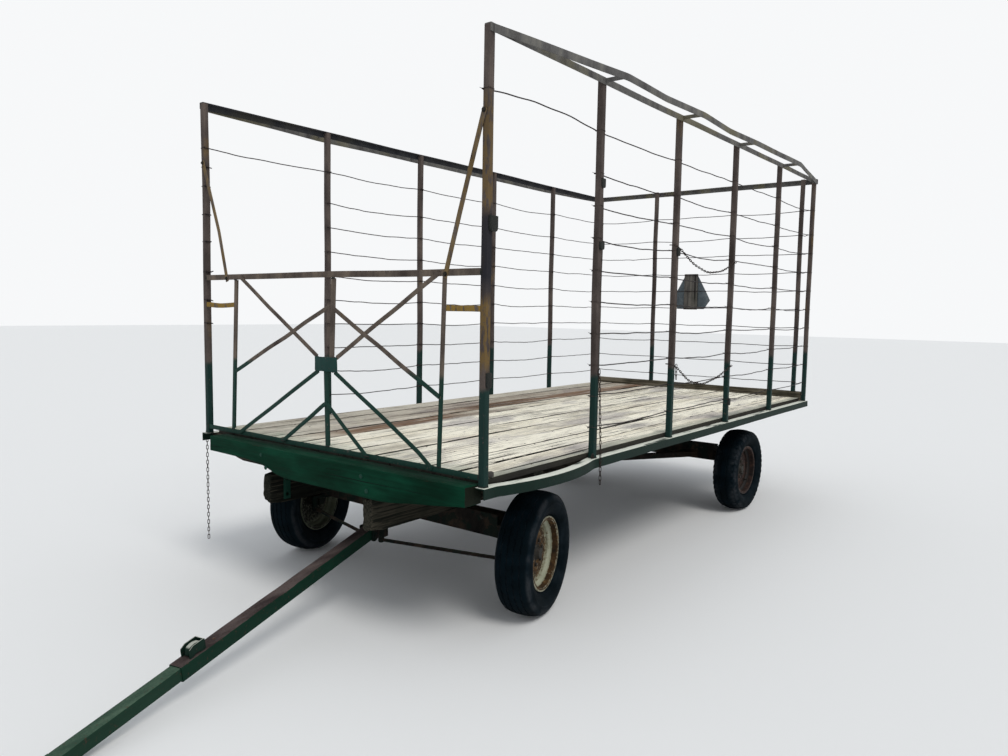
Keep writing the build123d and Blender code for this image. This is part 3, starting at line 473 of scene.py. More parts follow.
# %% Weathered planks
def weathered_planks():
    """Pale grey boards with streaks, checks, a worn brown band and a grey-green strip along the left
    edge. Their sides and ends are made near black: painted shade.
    """
    f = Finish("weathered_planks", specular=0.10)
    clouds = f.noise((0.16, 1.1, 0.16), 3.0, detail=5)
    grain = f.noise((0.0065, 0.55, 0.01), 1.0, detail=6, rough=0.62, bend=0.35)
    fine = f.noise((0.0022, 0.12, 0.004), 7.0, detail=4)
    check = f.noise((0.020, 1.7, 0.03), 5.0, detail=7, rough=0.58, bend=0.5)
    toned = f.sum(f.sum(clouds, f.mark("own"), 0.34), grain, 0.32)
    wood = f.shades(toned, [(0.42, rgb(132, 125, 118)), (0.56, rgb(192, 184, 170)),
                            (0.68, rgb(242, 235, 215)),
                            (0.88, rgb(255, 250, 233))])
    lilac = f.times(f.step(f.noise((0.30, 0.9, 0.3), 11.0, detail=4), 0.50, 0.64), 0.55)
    wood = f.over(lilac, wood, rgb(158, 153, 160))
    shaded = f.step(f.sum(f.along("X"), f.noise((0.10, 0.9, 0.1), 17.0, detail=5), 0.9), 0.30, -0.45)
    wood = f.coat(wood, shaded, 0.55, f.shades(grain, [(0.40, rgb(84, 78, 74)), (0.60, rgb(158, 150, 140))]))
    brown = f.shades(f.sum(grain, clouds, 0.5), [(0.55, rgb(62, 46, 37)), (0.74, rgb(116, 89, 69)),
                                                 (0.95, rgb(168, 144, 120))])
    worn = f.times(f.mark("brown"), f.step(f.noise((0.05, 0.8, 0.1), 4.0, detail=6), 0.30, 0.50))
    wood = f.over(worn, wood, brown)
    dirt = f.times(f.step(f.noise((0.22, 0.50, 0.22), 13.0, detail=6, rough=0.62), 0.50, 0.66),
                   f.step(grain, 0.40, 0.56))
    wood = f.coat(wood, dirt, 0.50, rgb(104, 98, 92))
    wood = f.coat(wood, f.step(fine, 0.52, 0.62), 0.55, rgb(100, 92, 86))
    hair = f.step(f.noise((0.011, 0.8, 0.02), 21.0, detail=5, rough=0.6, bend=0.3), 0.59, 0.62)
    wood = f.coat(wood, hair, 0.42, rgb(62, 54, 50))
    rubbed = f.step(f.sum(f.along("Y"), f.noise((0.2, 0.12, 0.2), 2.0), -0.5), -2.52, -2.84)
    wood = f.coat(wood, rubbed, 0.50, rgb(142, 166, 144))
    border = f.step(f.sum(f.along("X"), f.noise((0.05, 0.30, 0.1), 19.0, detail=5), 0.10), 1.145, 1.185)
    wood = f.coat(wood, border, 0.55, rgb(118, 128, 118))
    crack = f.times(f.step(check, 0.590, 0.625), f.step(f.noise((0.5, 1.5, 0.5), 15.0, detail=2), 0.38, 0.46))
    pit = f.step(f.cells((0.055, 0.16, 0.2), 9.0), 0.13, 0.06)
    dark = f.most(crack, f.times(pit, f.step(f.noise(0.6, 8.0), 0.52, 0.6)))
    wood = f.coat(wood, dark, 0.95, rgb(30, 25, 23))
    # painted shade: faces that don't look up, the planks' sides and ends, are made near black, as the shade
    # between and under the planks
    edge = f.step(f.along("Z", f.facing), 0.8, 0.3)
    wood = f.coat(wood, edge, 0.95, rgb(22, 19, 17))
    height = f.less(f.sum(grain, fine, 0.35), f.times(dark, 1.6))
    return f.done(wood, f.sum(0.94, grain, -0.15), height, 0.0022)


PLANK_FINISH = weathered_planks()
print("finish", PLANK_FINISH.name)


# %% [markdown]
# ## Frame timber
#
# The timbers below the deck were never painted, apart from splashes. They are a darker,
# dirtier grey-brown, with the grain along their own length. One function makes the finish
# for any direction of the grain: the noise is stretched along that axis.

# %% Frame timber
def frame_timber(name, axis, dark, middle, light):
    """Unpainted timber with its grain along axis, in three tones."""
    f = Finish(name, specular=0.05)
    long = np.where(np.arange(3) == "XYZ".index(axis), 1.0, 0.0)
    grain = f.noise(0.009 + 0.60 * long, 2.0, detail=6, rough=0.6, bend=0.3)
    clouds = f.noise(0.12 + 0.5 * long, 6.0, detail=4)
    wood = f.shades(f.sum(f.sum(grain, clouds, 0.7), f.mark("own"), 0.12),
                    [(0.62, dark), (0.88, middle), (1.08, light)])
    check = f.step(f.noise(0.022 + 1.4 * long, 9.0, detail=6), 0.62, 0.67)
    wood = f.coat(wood, check, 0.85, rgb(22, 19, 17))
    damp = f.step(f.noise(0.18, 4.0), 0.5, 0.68)
    wood = f.coat(wood, damp, 0.35, rgb(24, 32, 25))
    return f.done(wood, 0.9, f.less(grain, f.times(check, 1.3)), 0.0024)


BEARER_FINISH = frame_timber("bearer_timber", "X", rgb(18, 18, 16), rgb(36, 34, 30), rgb(64, 59, 52))
SILL_FINISH = frame_timber("sill_timber", "Y", rgb(12, 14, 12), rgb(27, 28, 24), rgb(60, 57, 49))
BOARD_FINISH = frame_timber("rear_timber", "X", rgb(44, 41, 35), rgb(76, 71, 60), rgb(116, 109, 95))
BACKING_FINISH = frame_timber("backing_board", "Z", rgb(50, 48, 46), rgb(76, 74, 72), rgb(102, 99, 94))


# %% [markdown]
# ## Green paint on timber
#
# The front beam is a deep green that has sunk into the wood. The grain telegraphs through
# it, it has scuffed to grey along the arrises and in a few patches, and its cut end is bare
# brown end grain. Which way the surface faces picks out the end.

# %% Green paint on timber
def green_timber():
    """Green paint that has sunk into the wood, with bare patches and brown ends."""
    f = Finish("green_timber", specular=0.04)
    grain = f.noise((0.7, 0.010, 0.010), 3.0, detail=6, rough=0.6, bend=0.3)
    clouds = f.noise((0.35, 0.16, 0.12), 5.0, detail=4)
    paint = f.shades(f.sum(clouds, grain, 0.35),
                     [(0.48, rgb(1, 30, 18)), (0.68, rgb(3, 43, 29)), (0.88, rgb(8, 58, 41))])
    wood = f.shades(grain, [(0.35, rgb(24, 20, 16)), (0.55, rgb(46, 40, 32)), (0.72, rgb(84, 76, 62))])
    patch = f.noise((0.16, 0.06, 0.045), 8.0, detail=7, rough=0.66)
    bare = f.step(f.sum(patch, grain, 0.22), 0.80, 0.85)
    corner = f.step(f.mark("edge"), 0.45, 0.95)
    bare = f.most(bare, f.times(corner, f.step(patch, 0.60, 0.68)))
    end = f.step(f.along("X", f.facing), 0.6, 0.9)
    colour = f.over(bare, paint, wood)
    colour = f.coat(colour, end, 0.9, f.over(grain, rgb(14, 16, 13), rgb(34, 32, 26)))
    crack = f.step(f.noise((1.3, 0.018, 0.016), 12.0, detail=6), 0.66, 0.70)
    colour = f.coat(colour, crack, 0.8, rgb(8, 20, 16))
    height = f.less(f.sum(f.times(grain, 0.8), bare, -0.5), f.times(crack, 1.2))
    return f.done(colour, f.sum(0.62, bare, 0.3), height, 0.0016)


BEAM_FINISH = green_timber()


# %% [markdown]
# ## Old paint over rust
#
# All the steel of the rack went through the same life: a first green, a later brown, some
# yellow, and rust over everything. Seen close it is three layers, and each layer shows where
# a noise passes a threshold. Green survives low down, near the deck, so its threshold falls
# with height. The same function with other numbers gives the posts, the rails, the gate and
# the running gear. Rust is rough and stands proud of bare metal, so it also drives the bump.

# %% Old paint over rust
def rust_shades(f, size, seed, dark, middle, light):
    """Rust: broad clouds, with finer ones for its crust."""
    cloud = f.noise((size, size, size * 3), seed, detail=5)
    crust = f.noise(size * 0.10, seed + 3, detail=5, rough=0.7)
    return f.shades(f.sum(cloud, crust, 0.4), [(0.50, dark), (0.70, middle), (0.92, light)]), crust


def old_paint(name, rust, green, green_top, soft, yellow=None, yellow_over=1.0, worn_and_sunlit_top=0.0, seed=0.0):
    """rust: its three tones. green: a dark and a light tone, up to about the height green_top, with
    soft metres of unevenness. yellow shows where its noise passes yellow_over. worn_and_sunlit_top makes the
    faces that look up near white: partly bare worn metal, partly a painted highlight of sunlight."""
    f = Finish(name, specular=0.14)
    colour, crust = rust_shades(f, 0.09, seed + 1, *rust)
    if yellow:
        patch = f.step(f.noise((0.13, 0.6, 0.5), seed + 5, detail=5), yellow_over, yellow_over + 0.10)
        kept = f.step(f.noise((0.02, 0.02, 0.07), seed + 6, detail=5), 0.40, 0.52)
        patch = f.most(f.times(patch, 0.55), f.times(f.mark("gold"), kept))
        colour = f.over(f.times(patch, f.step(crust, 0.66, 0.56)), colour, yellow)
    # painted shade: a dark blue-grey laid over a band of the left front post and over the far top rail
    colour = f.over(f.mark("painted_shade"), colour, rgb(25, 29, 38))
    paint = f.over(f.noise((0.05, 0.05, 0.15), seed + 8), green[0], green[1])
    level = f.sum(f.along("Z"), f.noise((0.11, 0.11, 0.22), seed + 9, detail=5), 2 * soft)
    share = f.step(level, green_top + soft + 0.02, green_top + soft - 0.02)
    chips = f.step(f.noise(0.016, seed + 12, detail=6, rough=0.7), 0.61, 0.65)
    share = f.times(share, f.less(1.0, chips))
    colour = f.over(share, colour, paint)
    streak = f.step(f.noise((0.012, 0.012, 0.30), seed + 15, detail=4), 0.58, 0.70)
    colour = f.coat(colour, streak, 0.25, rust[0])
    # painted highlight: faces that look up turn near white, partly bare worn metal and partly sunlight
    # painted on them
    if worn_and_sunlit_top:
        up = f.times(f.step(f.along("Z", f.facing), 0.55, 0.9),
                     f.step(f.noise((0.05, 0.30, 0.05), seed + 2), 0.30, 0.46))
        colour = f.over(f.times(up, worn_and_sunlit_top), colour,
                        f.over(f.noise((0.02, 0.2, 0.02), seed), rgb(190, 198, 186), rgb(236, 236, 226)))
    height = f.sum(f.times(crust, 0.8), share, 0.45)
    return f.done(colour, f.sum(0.86, share, -0.24), height, 0.0011)


RUST = (rgb(58, 51, 48), rgb(76, 68, 65), rgb(98, 88, 82))
GREENS = (rgb(9, 36, 33), rgb(22, 50, 46))
POST_FINISH = old_paint("post_paint", RUST, GREENS, 0.46, 0.06, rgb(112, 90, 50), 0.60, seed=2.0)
TOP_RAIL_FINISH = old_paint("top_rail_paint", (rgb(70, 68, 68), rgb(94, 93, 92), rgb(116, 114, 108)),
                            GREENS, -1.0, 0.05,
                            rgb(112, 106, 80), 0.52, seed=21.0)
EDGE_FINISH = old_paint("edge_rail_paint", (rgb(20, 22, 20), rgb(34, 38, 34), rgb(52, 56, 50)),
                        (rgb(5, 25, 19), rgb(15, 39, 32)), 0.6, 0.4, worn_and_sunlit_top=0.95, seed=33.0)
GATE_FINISH = old_paint("gate_paint", (rgb(62, 54, 50), rgb(88, 79, 72), rgb(114, 102, 90)),
                        (rgb(9, 40, 34), rgb(22, 58, 49)),
                        0.50, 0.05, rgb(132, 106, 50), 0.62, seed=47.0)
GUSSET_FINISH = old_paint("gusset_paint", RUST, (rgb(14, 46, 43), rgb(27, 64, 59)), 1.4, 0.05, seed=52.0)
STRAP_FINISH = old_paint("strap_paint", RUST, (rgb(10, 46, 36), rgb(20, 62, 50)), 0.6, 0.3, seed=58.0)


# %% [markdown]
# ## Running gear, tongue, wire and chain
#
# The running gear is oily dirt over dark paint, with rust where water stands. The tongue's
# outer tube has lost the paint of its upper face to boots and weather and is rusty mauve
# there, while its sides stay green. Its inner bar is a lighter grey-green. Wire and chain
# are plain dark rust with a little metal left.

# %% Running gear
def gear_steel():
    """Dark paint and rust under dust."""
    f = Finish("gear_steel", specular=0.08)
    colour, crust = rust_shades(f, 0.10, 3.0, rgb(16, 15, 14), rgb(32, 29, 26), rgb(60, 48, 38))
    paint = f.step(f.noise(0.13, 9.0, detail=6, rough=0.65), 0.50, 0.54)
    colour = f.coat(colour, paint, 0.8, rgb(13, 27, 23))
    dust = f.times(f.step(f.along("Z", f.facing), 0.3, 0.95), f.noise(0.05, 5.0))
    colour = f.coat(colour, dust, 0.6, rgb(84, 76, 66))
    return f.done(colour, 0.82, f.sum(crust, paint, 0.3), 0.0012)


def tube_steel(name, sides, top, seed):
    """sides and top: a dark and a light tone each."""
    f = Finish(name, specular=0.10)
    crust = f.noise(0.010, seed, detail=5, rough=0.7)
    cloud = f.noise((0.08, 0.30, 0.08), seed + 2, detail=5)
    side = f.over(cloud, sides[0], sides[1])
    crown = f.shades(f.sum(cloud, crust, 0.4), [(0.55, top[0]), (0.85, top[1])])
    scuffed = f.sum(f.along("Z", f.facing), f.less(f.noise((0.03, 0.12, 0.03), seed + 4, detail=5), 0.5), 0.9)
    share = f.step(scuffed, 0.42, 0.66)
    colour = f.over(share, side, crown)
    spots = f.step(f.noise(0.022, seed + 6, detail=6, rough=0.7), 0.60, 0.64)
    colour = f.coat(colour, spots, 0.6, rgb(66, 48, 40))
    return f.done(colour, f.sum(0.60, share, 0.22), f.sum(crust, share, -0.5), 0.0008)


def bare_rust(name, dark, light, metallic, size):
    """Unpainted iron: two tones in crusts about size across."""
    f = Finish(name, metallic=metallic, specular=0.15)
    crust = f.noise(size, 4.0, detail=5, rough=0.7)
    colour = f.over(f.step(crust, 0.38, 0.66), dark, light)
    return f.done(colour, 0.62, crust, 0.0004)


GEAR_FINISH = gear_steel()
SLEEVE_FINISH = tube_steel("tongue_tube", (rgb(4, 32, 22), rgb(13, 50, 37)),
                           (rgb(50, 42, 42), rgb(86, 76, 74)), 3.0)
BAR_FINISH = tube_steel("tongue_bar", (rgb(16, 40, 30), rgb(30, 58, 45)),
                        (rgb(48, 70, 58), rgb(78, 100, 84)), 23.0)
LATCH_FINISH = old_paint("latch_paint", (rgb(20, 20, 19), rgb(38, 35, 31), rgb(62, 56, 48)),
                         (rgb(3, 24, 18), rgb(11, 40, 31)),
                         0.6, 0.3, worn_and_sunlit_top=0.55, seed=61.0)
WIRE_FINISH = bare_rust("wire_rust", rgb(24, 20, 22), rgb(50, 42, 43), 0.0, 0.012)
TIE_FINISH = bare_rust("tie_rust", rgb(46, 39, 38), rgb(76, 66, 62), 0.0, 0.008)
CHAIN_FINISH = bare_rust("chain_rust", rgb(22, 20, 22), rgb(60, 46, 38), 0.0, 0.006)
BOLT_FINISH = bare_rust("bolt_rust", rgb(24, 26, 24), rgb(52, 46, 38), 0.0, 0.005)
NAIL_FINISH = bare_rust("nail_rust", rgb(52, 42, 38), rgb(96, 72, 56), 0.2, 0.004)
WELD_FINISH = bare_rust("weld_paint", rgb(20, 26, 26), rgb(48, 48, 44), 0.0, 0.006)


# %% [markdown]
# ## Rubber and wheels
#
# Old tyres are blue-black, with a grey bloom on the walls, dust in the grooves and fine
# cracks round the bead. The attribute `dust` is worked out with the tyre's shape and says
# where dirt settles. The wheels came from other machines: the near front one is cream, the
# far one green-grey and the rear ones dark brown. Rust starts in the well and at the edges,
# which the attribute `edge` marks.

# %% Rubber and wheels
def tyre_rubber():
    """Old rubber with dust where its mark says."""
    f = Finish("tyre_rubber", specular=0.06)
    bloom = f.noise(0.10, 2.0, detail=5)
    grit = f.noise(0.004, 6.0, detail=4)
    colour = f.shades(f.sum(bloom, f.mark("dust"), 0.35),
                      [(0.40, rgb(0, 8, 13)), (0.62, rgb(2, 15, 22)), (0.90, rgb(22, 34, 41))])
    colour = f.over(f.times(f.mark("dust"), f.times(f.step(bloom, 0.36, 0.62), 0.6)), colour, rgb(58, 58, 60))
    cracks = f.step(f.cells(0.018, 4.0, "DISTANCE_TO_EDGE"), 0.06, 0.02)
    colour = f.over(f.times(cracks, f.times(f.mark("dust"), 0.5)), colour, rgb(14, 15, 17))
    return f.done(colour, f.sum(0.74, bloom, 0.2), f.less(grit, f.times(cracks, 0.8)), 0.0006)


def wheel_paint(name, paint, rust, cover, seed):
    """paint: a dark and a light tone. cover is how much of the paint is left, from 0 to 1. Rust gains
    with the mark `edge`, and paint holds where that is below zero."""
    f = Finish(name, specular=0.18)
    crust = f.noise(0.011, seed, detail=5, rough=0.7)
    rusty = f.shades(f.sum(f.noise(0.05, seed + 2, detail=4), crust, 0.4),
                     [(0.50, rust[0]), (0.72, rust[1]), (0.92, rust[2])])
    coat = f.over(f.noise(0.06, seed + 4), paint[0], paint[1])
    gone = f.sum(f.noise(0.017, seed + 7, detail=7, rough=0.72), f.mark("edge"), 0.17)
    left = f.step(gone, 0.49 + 0.2 * cover, 0.41 + 0.2 * cover)
    stain = f.step(gone, 0.30 + 0.2 * cover, 0.44 + 0.2 * cover)
    colour = f.over(left, rusty, f.over(f.times(stain, 0.6), coat, rust[2]))
    return f.done(colour, f.sum(0.85, left, -0.35), f.sum(crust, left, 0.4), 0.0009)


WHEEL_RUST = (rgb(32, 26, 18), rgb(62, 44, 26), rgb(98, 74, 44))
TYRE_FINISH = tyre_rubber()
CREAM_FINISH = wheel_paint("cream_wheel", (rgb(126, 128, 108), rgb(176, 178, 158)), WHEEL_RUST, 0.50, 3.0)
GREEN_WHEEL_FINISH = wheel_paint("green_wheel", (rgb(66, 72, 58), rgb(112, 116, 98)),
                                 (rgb(16, 18, 16), rgb(28, 28, 24), rgb(48, 46, 38)), 0.72, 13.0)
BROWN_WHEEL_FINISH = wheel_paint("brown_wheel", (rgb(26, 25, 25), rgb(40, 38, 37)),
                                 (rgb(24, 20, 20), rgb(46, 35, 32), rgb(76, 54, 45)), 0.52, 23.0)
HUB_FINISH = wheel_paint("hub_paint", (rgb(22, 24, 22), rgb(38, 38, 34)),
                         (rgb(20, 18, 15), rgb(34, 29, 23), rgb(50, 42, 34)), 0.60, 33.0)


# %% [markdown]
# ## The sign's sheet
#
# The triangle is a slow-vehicle emblem with nothing written on it. Seen from the front it
# shows its grey back. From behind it has a faded orange middle inside a dull red border. A
# face that looks forward takes the first colour, and how far a point lies inside the outline
# (the attribute `inside`) tells the border from the middle.

# %% The sign's sheet
def sign_sheet():
    """Orange in a red border behind, and bare grey in front."""
    f = Finish("sign_sheet", specular=0.4)
    fade = f.noise(0.12, 3.0, detail=5)
    scratch = f.step(f.noise((0.02, 0.02, 0.10), 7.0, detail=6, rough=0.7), 0.60, 0.66)
    orange = f.over(fade, rgb(196, 92, 48), rgb(214, 134, 84))
    border = f.over(fade, rgb(120, 40, 36), rgb(148, 66, 56))
    front = f.over(f.step(f.mark("inside"), 0.40, 0.42), border, orange)
    grey = f.shades(f.sum(fade, f.noise(0.02, 9.0), 0.4),
                    [(0.50, rgb(58, 68, 74)), (0.72, rgb(76, 87, 94)), (0.92, rgb(98, 106, 110))])
    colour = f.over(f.step(f.along("Y", f.facing), -0.1, 0.1), grey, front)
    colour = f.coat(colour, scratch, 0.5, rgb(104, 92, 82))
    return f.done(colour, 0.55, f.less(fade, scratch), 0.0005)


SIGN_FINISH = sign_sheet()


# %% [markdown]
# ## Sawn timber
#
# A plank is a rounded rectangle carried along its length. Three changes age it: the whole
# ring sways a little (warp), the skin is eaten in and out along the grain (chew), and the
# end rings are drawn in so that no end is sharp. The chew uses a ripple that is short across
# the plank and long along it, as the wood's own fibres are.

# %% Sawn timber
def timber(outline, start, end, across, seed, warp=0.0012, chew=0.0010, step=0.07):
    """Rings of sawn timber: place = straight ring + warp · slow ripple + chew · outward · (ripple along
    the grain - 0.6)."""
    start, end, across = (np.array(v, float) for v in (start, end, across))
    length = np.linalg.norm(end - start)
    run = (end - start) / length
    s = np.concatenate([[0, 0.003], np.arange(0.012, length - 0.012, step), [length - 0.003, length]])
    path = start + run * s[:, None]
    grow = np.interp(s, [0, 0.003, length - 0.003, length], [0.95, 1, 1, 0.95])
    rings = carry(outline, path, across, np.cross(run, across), grow)
    sway = ripple(path, 0.9, seed)[:, None] * across
    sway = sway + ripple(path, 0.9, seed + 1)[:, None] * np.cross(run, across)
    outward = unit(rings - path[:, None])
    eaten = ripple(rings, 0.022 + 0.5 * np.abs(run), seed + 2) - 0.6
    return rings + warp * sway[:, None] + chew * outward * eaten[..., None]


# %% [markdown]
# ## The deck
#
# Eleven planks run the wagon's length with dark gaps between them. Each is cupped: the
# growth rings pull the edges down or up by a millimetre or three, which is what makes a
# row of planks read as separate boards. Their front ends don't line up. Some have lost a
# splintered strip along the left edge, so the gaps there are wider and uneven.

# %% Deck planks
PLANKS, PLANK_GAP, PLANK_T = 11, 0.006, 0.036
low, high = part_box("deck_planks")
pitch = (high.x - low.x + PLANK_GAP) / PLANKS
LOST = (0.003, 0.002, 0.008, 0.012, 0.003, 0.002, 0.004, 0.002, 0.007, 0.012, 0.0)
dice = np.random.default_rng(4)
shells, brown = [], []
# how worn to brown a plank is at its front, after it, halfway and further back
BROWN = {1: (0, 0, 0.2, 0.35), 2: (0, 0.2, 0.4, 1.0), 3: (0.1, 1.0, 1.0, 0.1)}
for row in range(PLANKS):
    middle = low.x + (pitch - PLANK_GAP) / 2 + row * pitch
    start = (middle, low.y + dice.uniform(0, 0.012), -PLANK_T / 2)
    end = (middle, high.y - dice.uniform(0, 0.008), -PLANK_T / 2)
    section = spread(flat_section(pitch - PLANK_GAP, PLANK_T, 0.004), 0.014)
    rings = timber(section, start, end, (1, 0, 0), 10 * row)
    share = np.clip((rings[..., 0] - middle) / (pitch / 2), -1, 1)
    splinter = LOST[row] * (1 + 0.7 * ripple(rings, (9, 0.10, 9), 17 + row))
    rings[..., 0] -= splinter * np.clip((share - 0.80) / 0.12, 0, 1)
    rings[..., 2] += dice.uniform(-0.0045, 0.0008) * share ** 2 * (rings[..., 2] > -PLANK_T / 2)
    shells.append(skin(rings))
    brown.append(np.interp(shells[-1][0][:, 1], (-2.35, -2.0, -1.0, -0.4), BROWN.get(row, (0, 0, 0, 0))))
make("deck_boards", shells, "wagon", PLANK_FINISH, ["deck_planks"],
     marks={"brown": np.concatenate(brown)})


# %% [markdown]
# ## Nails and bolts
#
# Small fasteners are drawn once and copied to a whole array of places in one step, so
# hundreds of them cost a few dozen faces each. A nail's head is a low dome on the plank over
# each bearer. A bolt has a washer and a six-sided head with its corners chamfered.

# %% Fasteners
def button(radii, heights, count):
    """A round shape about Z: one ring of count points for each radius and height."""
    ring = circle(1.0, count)
    radii, heights = np.array(radii), np.array(heights)
    flat = radii[:, None, None] * ring
    return skin(np.concatenate([flat, np.broadcast_to(heights[:, None, None], (len(radii), count, 1))], -1))


def turn_to(normal):
    """A turn that takes +Z to normal."""
    n = unit(np.asarray(normal, float))
    side = unit(np.cross(n, (0.31, 0.52, 0.80)))
    return np.stack([side, np.cross(n, side), n], -1)


def bolts(places, normal, size=0.010):
    """Hex bolt heads on washers; size is the bolt's thickness."""
    washer = button(np.array([1.0, 1.25, 1.25, 1.1]) * size, np.array([0, 0.0, 0.16, 0.24]) * size, 12)
    head = button(np.array([0.98, 0.98, 0.80, 0.5]) * size, np.array([0.2, 0.78, 0.92, 0.95]) * size, 6)
    return [copies(shell, turn_to(normal), places) for shell in (washer, head)]


NAIL = button([0.0052, 0.0052, 0.0042, 0.0018], [-0.001, 0.0008, 0.0016, 0.0019], 7)
BAY = 1.022
FRONT, REAR = -2.555, 2.555
bearer_rows = [FRONT + 0.080] + [FRONT + step * BAY / 2 for step in range(1, 10)] + [REAR - 0.010]
plank_middles = low.x + (pitch - PLANK_GAP) / 2 + np.arange(PLANKS) * pitch
x, y = np.meshgrid((plank_middles[:, None] + (-0.068, 0.068)).ravel(), bearer_rows)
spots = np.stack([x.ravel(), y.ravel(), np.zeros(x.size)], -1)
spots[:, :2] += np.random.default_rng(9).normal(scale=0.009, size=(len(spots), 2))
spots[:, 1] = np.clip(spots[:, 1], low.y + 0.02, high.y - 0.015)
spots[:, 2] -= 0.0012
make("deck_nails", [copies(NAIL, np.eye(3), spots)], "wagon", NAIL_FINISH)


# %% [markdown]
# ## Bearers, sills and rear board
#
# Under the planks a timber lies across the wagon at each post, with a shorter one between.
# Their ends are cut away below, so that only a shallow tip reaches the edge. They rest on two
# long sills whose ends stick out in front, split and rounded by weather, so their end rings
# are drawn in further than a plank's.

# %% Bearers, sills and rear board
TIP, TAPER, DEPTH = 0.046, 0.330, 0.154
LONG, SHORT = 1.244, 1.185
bearer_section = spread(flat_section(0.090, DEPTH, 0.006), 0.03)


def bearer(y, half, seed):
    """One bearer: below its top, heights shrink by the share of the depth that is left at that x."""
    z = -PLANK_T - DEPTH / 2
    rings = timber(bearer_section, (-half, y, z), (half, y, z), (0, 1, 0), seed, 0.001, 0.0016)
    left = np.interp(half - np.abs(rings[..., 0]), (0, TAPER), (TIP / DEPTH, 1))
    rings[..., 2] = -PLANK_T + (rings[..., 2] + PLANK_T) * left
    return rings


shells = [skin(bearer(y, SHORT if k % 2 else LONG, 200 + 7 * k)) for k, y in enumerate(bearer_rows)]
make("bearer_timbers", shells, "wagon", BEARER_FINISH, ["cross_bearers"])


SILL_X, SILL_Z, SILL_FRONT, SILL_REAR = 0.457, -0.2875, -2.630, 2.495


def sill(side):
    """One long sill. Its ends are worn round: the rings shrink over the last 45 mm."""
    outline = spread(flat_section(0.084, 0.195, 0.008), 0.022)
    ends = [(side * SILL_X, y, SILL_Z) for y in (SILL_FRONT, SILL_REAR)]
    rings = timber(outline, *ends, (1, 0, 0), 300 + side, 0.0015, 0.0022)
    middle = rings.mean(1, keepdims=True)
    from_end = np.minimum(middle[..., 1:2] - SILL_FRONT, SILL_REAR - middle[..., 1:2])
    worn = 1 - 0.16 * np.clip(1 - from_end / 0.045, 0, 1) ** 2 * (1 + 0.5 * ripple(rings, 0.03, 5)[..., None])
    return middle + (rings - middle) * worn


make("sill_timbers", [skin(sill(1)), skin(sill(-1))], "wagon", SILL_FINISH, ["main_sills"])
ends = [(side * 1.1897, 2.560, 0.012) for side in (-1, 1)]
board = timber(spread(flat_section(0.060, 0.096, 0.005), 0.02), *ends, (0, 1, 0), 320, 0.0008, 0.0016)
make("rear_timber", [skin(board)], "wagon", BOARD_FINISH, ["rear_board"])


# %% [markdown]
# ## The green front beam
#
# The beam's underside is cut to a curve: shallow at both ends and deep in the middle, with
# the step nearer the wagon's right. One rectangle is carried across the wagon and each ring
# is stretched down to the depth at its place, read from a short table by interpolation and
# smoothed a little, as a saw would follow a line. The attribute `edge` is high at the
# arrises, where paint wears first.

# %% Front beam
BEAM_TOP, BEAM_Y, BEAM_W, BEAM_DEPTH = -0.022, -2.590, 0.130, 0.168
BEAM_ENDS = [-1.050, -1.047, 1.177, 1.180]
# columns: x, depth of the underside below the deck's top
UNDERSIDE = np.array([
    (-1.050, 0.120), (-0.610, 0.125), (-0.470, 0.142), (-0.350, 0.174),
    (-0.260, 0.190), (0.600, 0.190), (1.180, 0.120),
])
x = np.concatenate([BEAM_ENDS[:2], np.arange(-1.04, 1.17, 0.03), BEAM_ENDS[2:]])
depth = np.mean([np.interp(x + shift, *UNDERSIDE.T) for shift in np.linspace(-0.05, 0.05, 7)], 0) + BEAM_TOP
outline = spread(flat_section(BEAM_W, BEAM_DEPTH, 0.005), 0.012)
grow = np.interp(x, BEAM_ENDS, [0.96, 1, 1, 0.96])
middle = np.stack([x, np.full_like(x, BEAM_Y), BEAM_TOP - depth / 2], -1)
rings = carry(outline, middle, (0, 1, 0), (0, 0, 1), grow)
rings[..., 2] = middle[:, None, 2] + (rings[..., 2] - middle[:, None, 2]) * (depth / BEAM_DEPTH)[:, None]
outward = unit(rings - middle[:, None])
rings += 0.0014 * outward * (ripple(rings, (0.45, 0.03, 0.03), 41) - 0.7)[..., None]
arris = np.min(np.abs(outline) / (BEAM_W / 2, BEAM_DEPTH / 2), 1)
make("green_beam", [skin(rings)], "wagon", BEAM_FINISH, ["front_beam"],
     marks={"edge": np.tile(np.clip((arris - 0.80) / 0.2, 0, 1), len(x))})

STRAP_Y = -2.515
STRAP_BENDS = ((0.357, -0.193), (0.412, -0.193), (0.412, -0.364))
straps = []
for side in (1, -1):
    line = trace([(side * x, STRAP_Y, z) for x, z in STRAP_BENDS], 0.006, 0.010)
    straps.append(skin(carry(flat_section(0.050, 0.006, 0.0015), line, (0, 1, 0))))
make("beam_straps", straps, "wagon", STRAP_FINISH, ["sill_straps"])
spots = [(side * SILL_X + dx, BEAM_Y - BEAM_W / 2, z) for side in (1, -1) for dx,
         z in ((-0.022, -0.075), (0.022, -0.150))]
heads = button([0.013, 0.013, 0.011, 0.006], [-0.002, 0.001, 0.003, 0.0042], 14)
strap_bolts = bolts([(side * 0.409, STRAP_Y, z) for side in (1, -1) for z in (-0.235, -0.335)],
                    (-1, 0, 0), 0.009)
make("beam_bolts", [copies(heads, turn_to((0, -1, 0)), spots)] + strap_bolts, "wagon",
     STRAP_FINISH)


# %% [markdown]
# ## Angle iron
#
# Nearly all of the rack is angle iron. The section is rolled, so its toes are round and a
# fillet fills the inside, and light catches on both. A bar is carried along a straight line
# that bows by a few millimetres between its ends, because nothing on an old wagon is true.

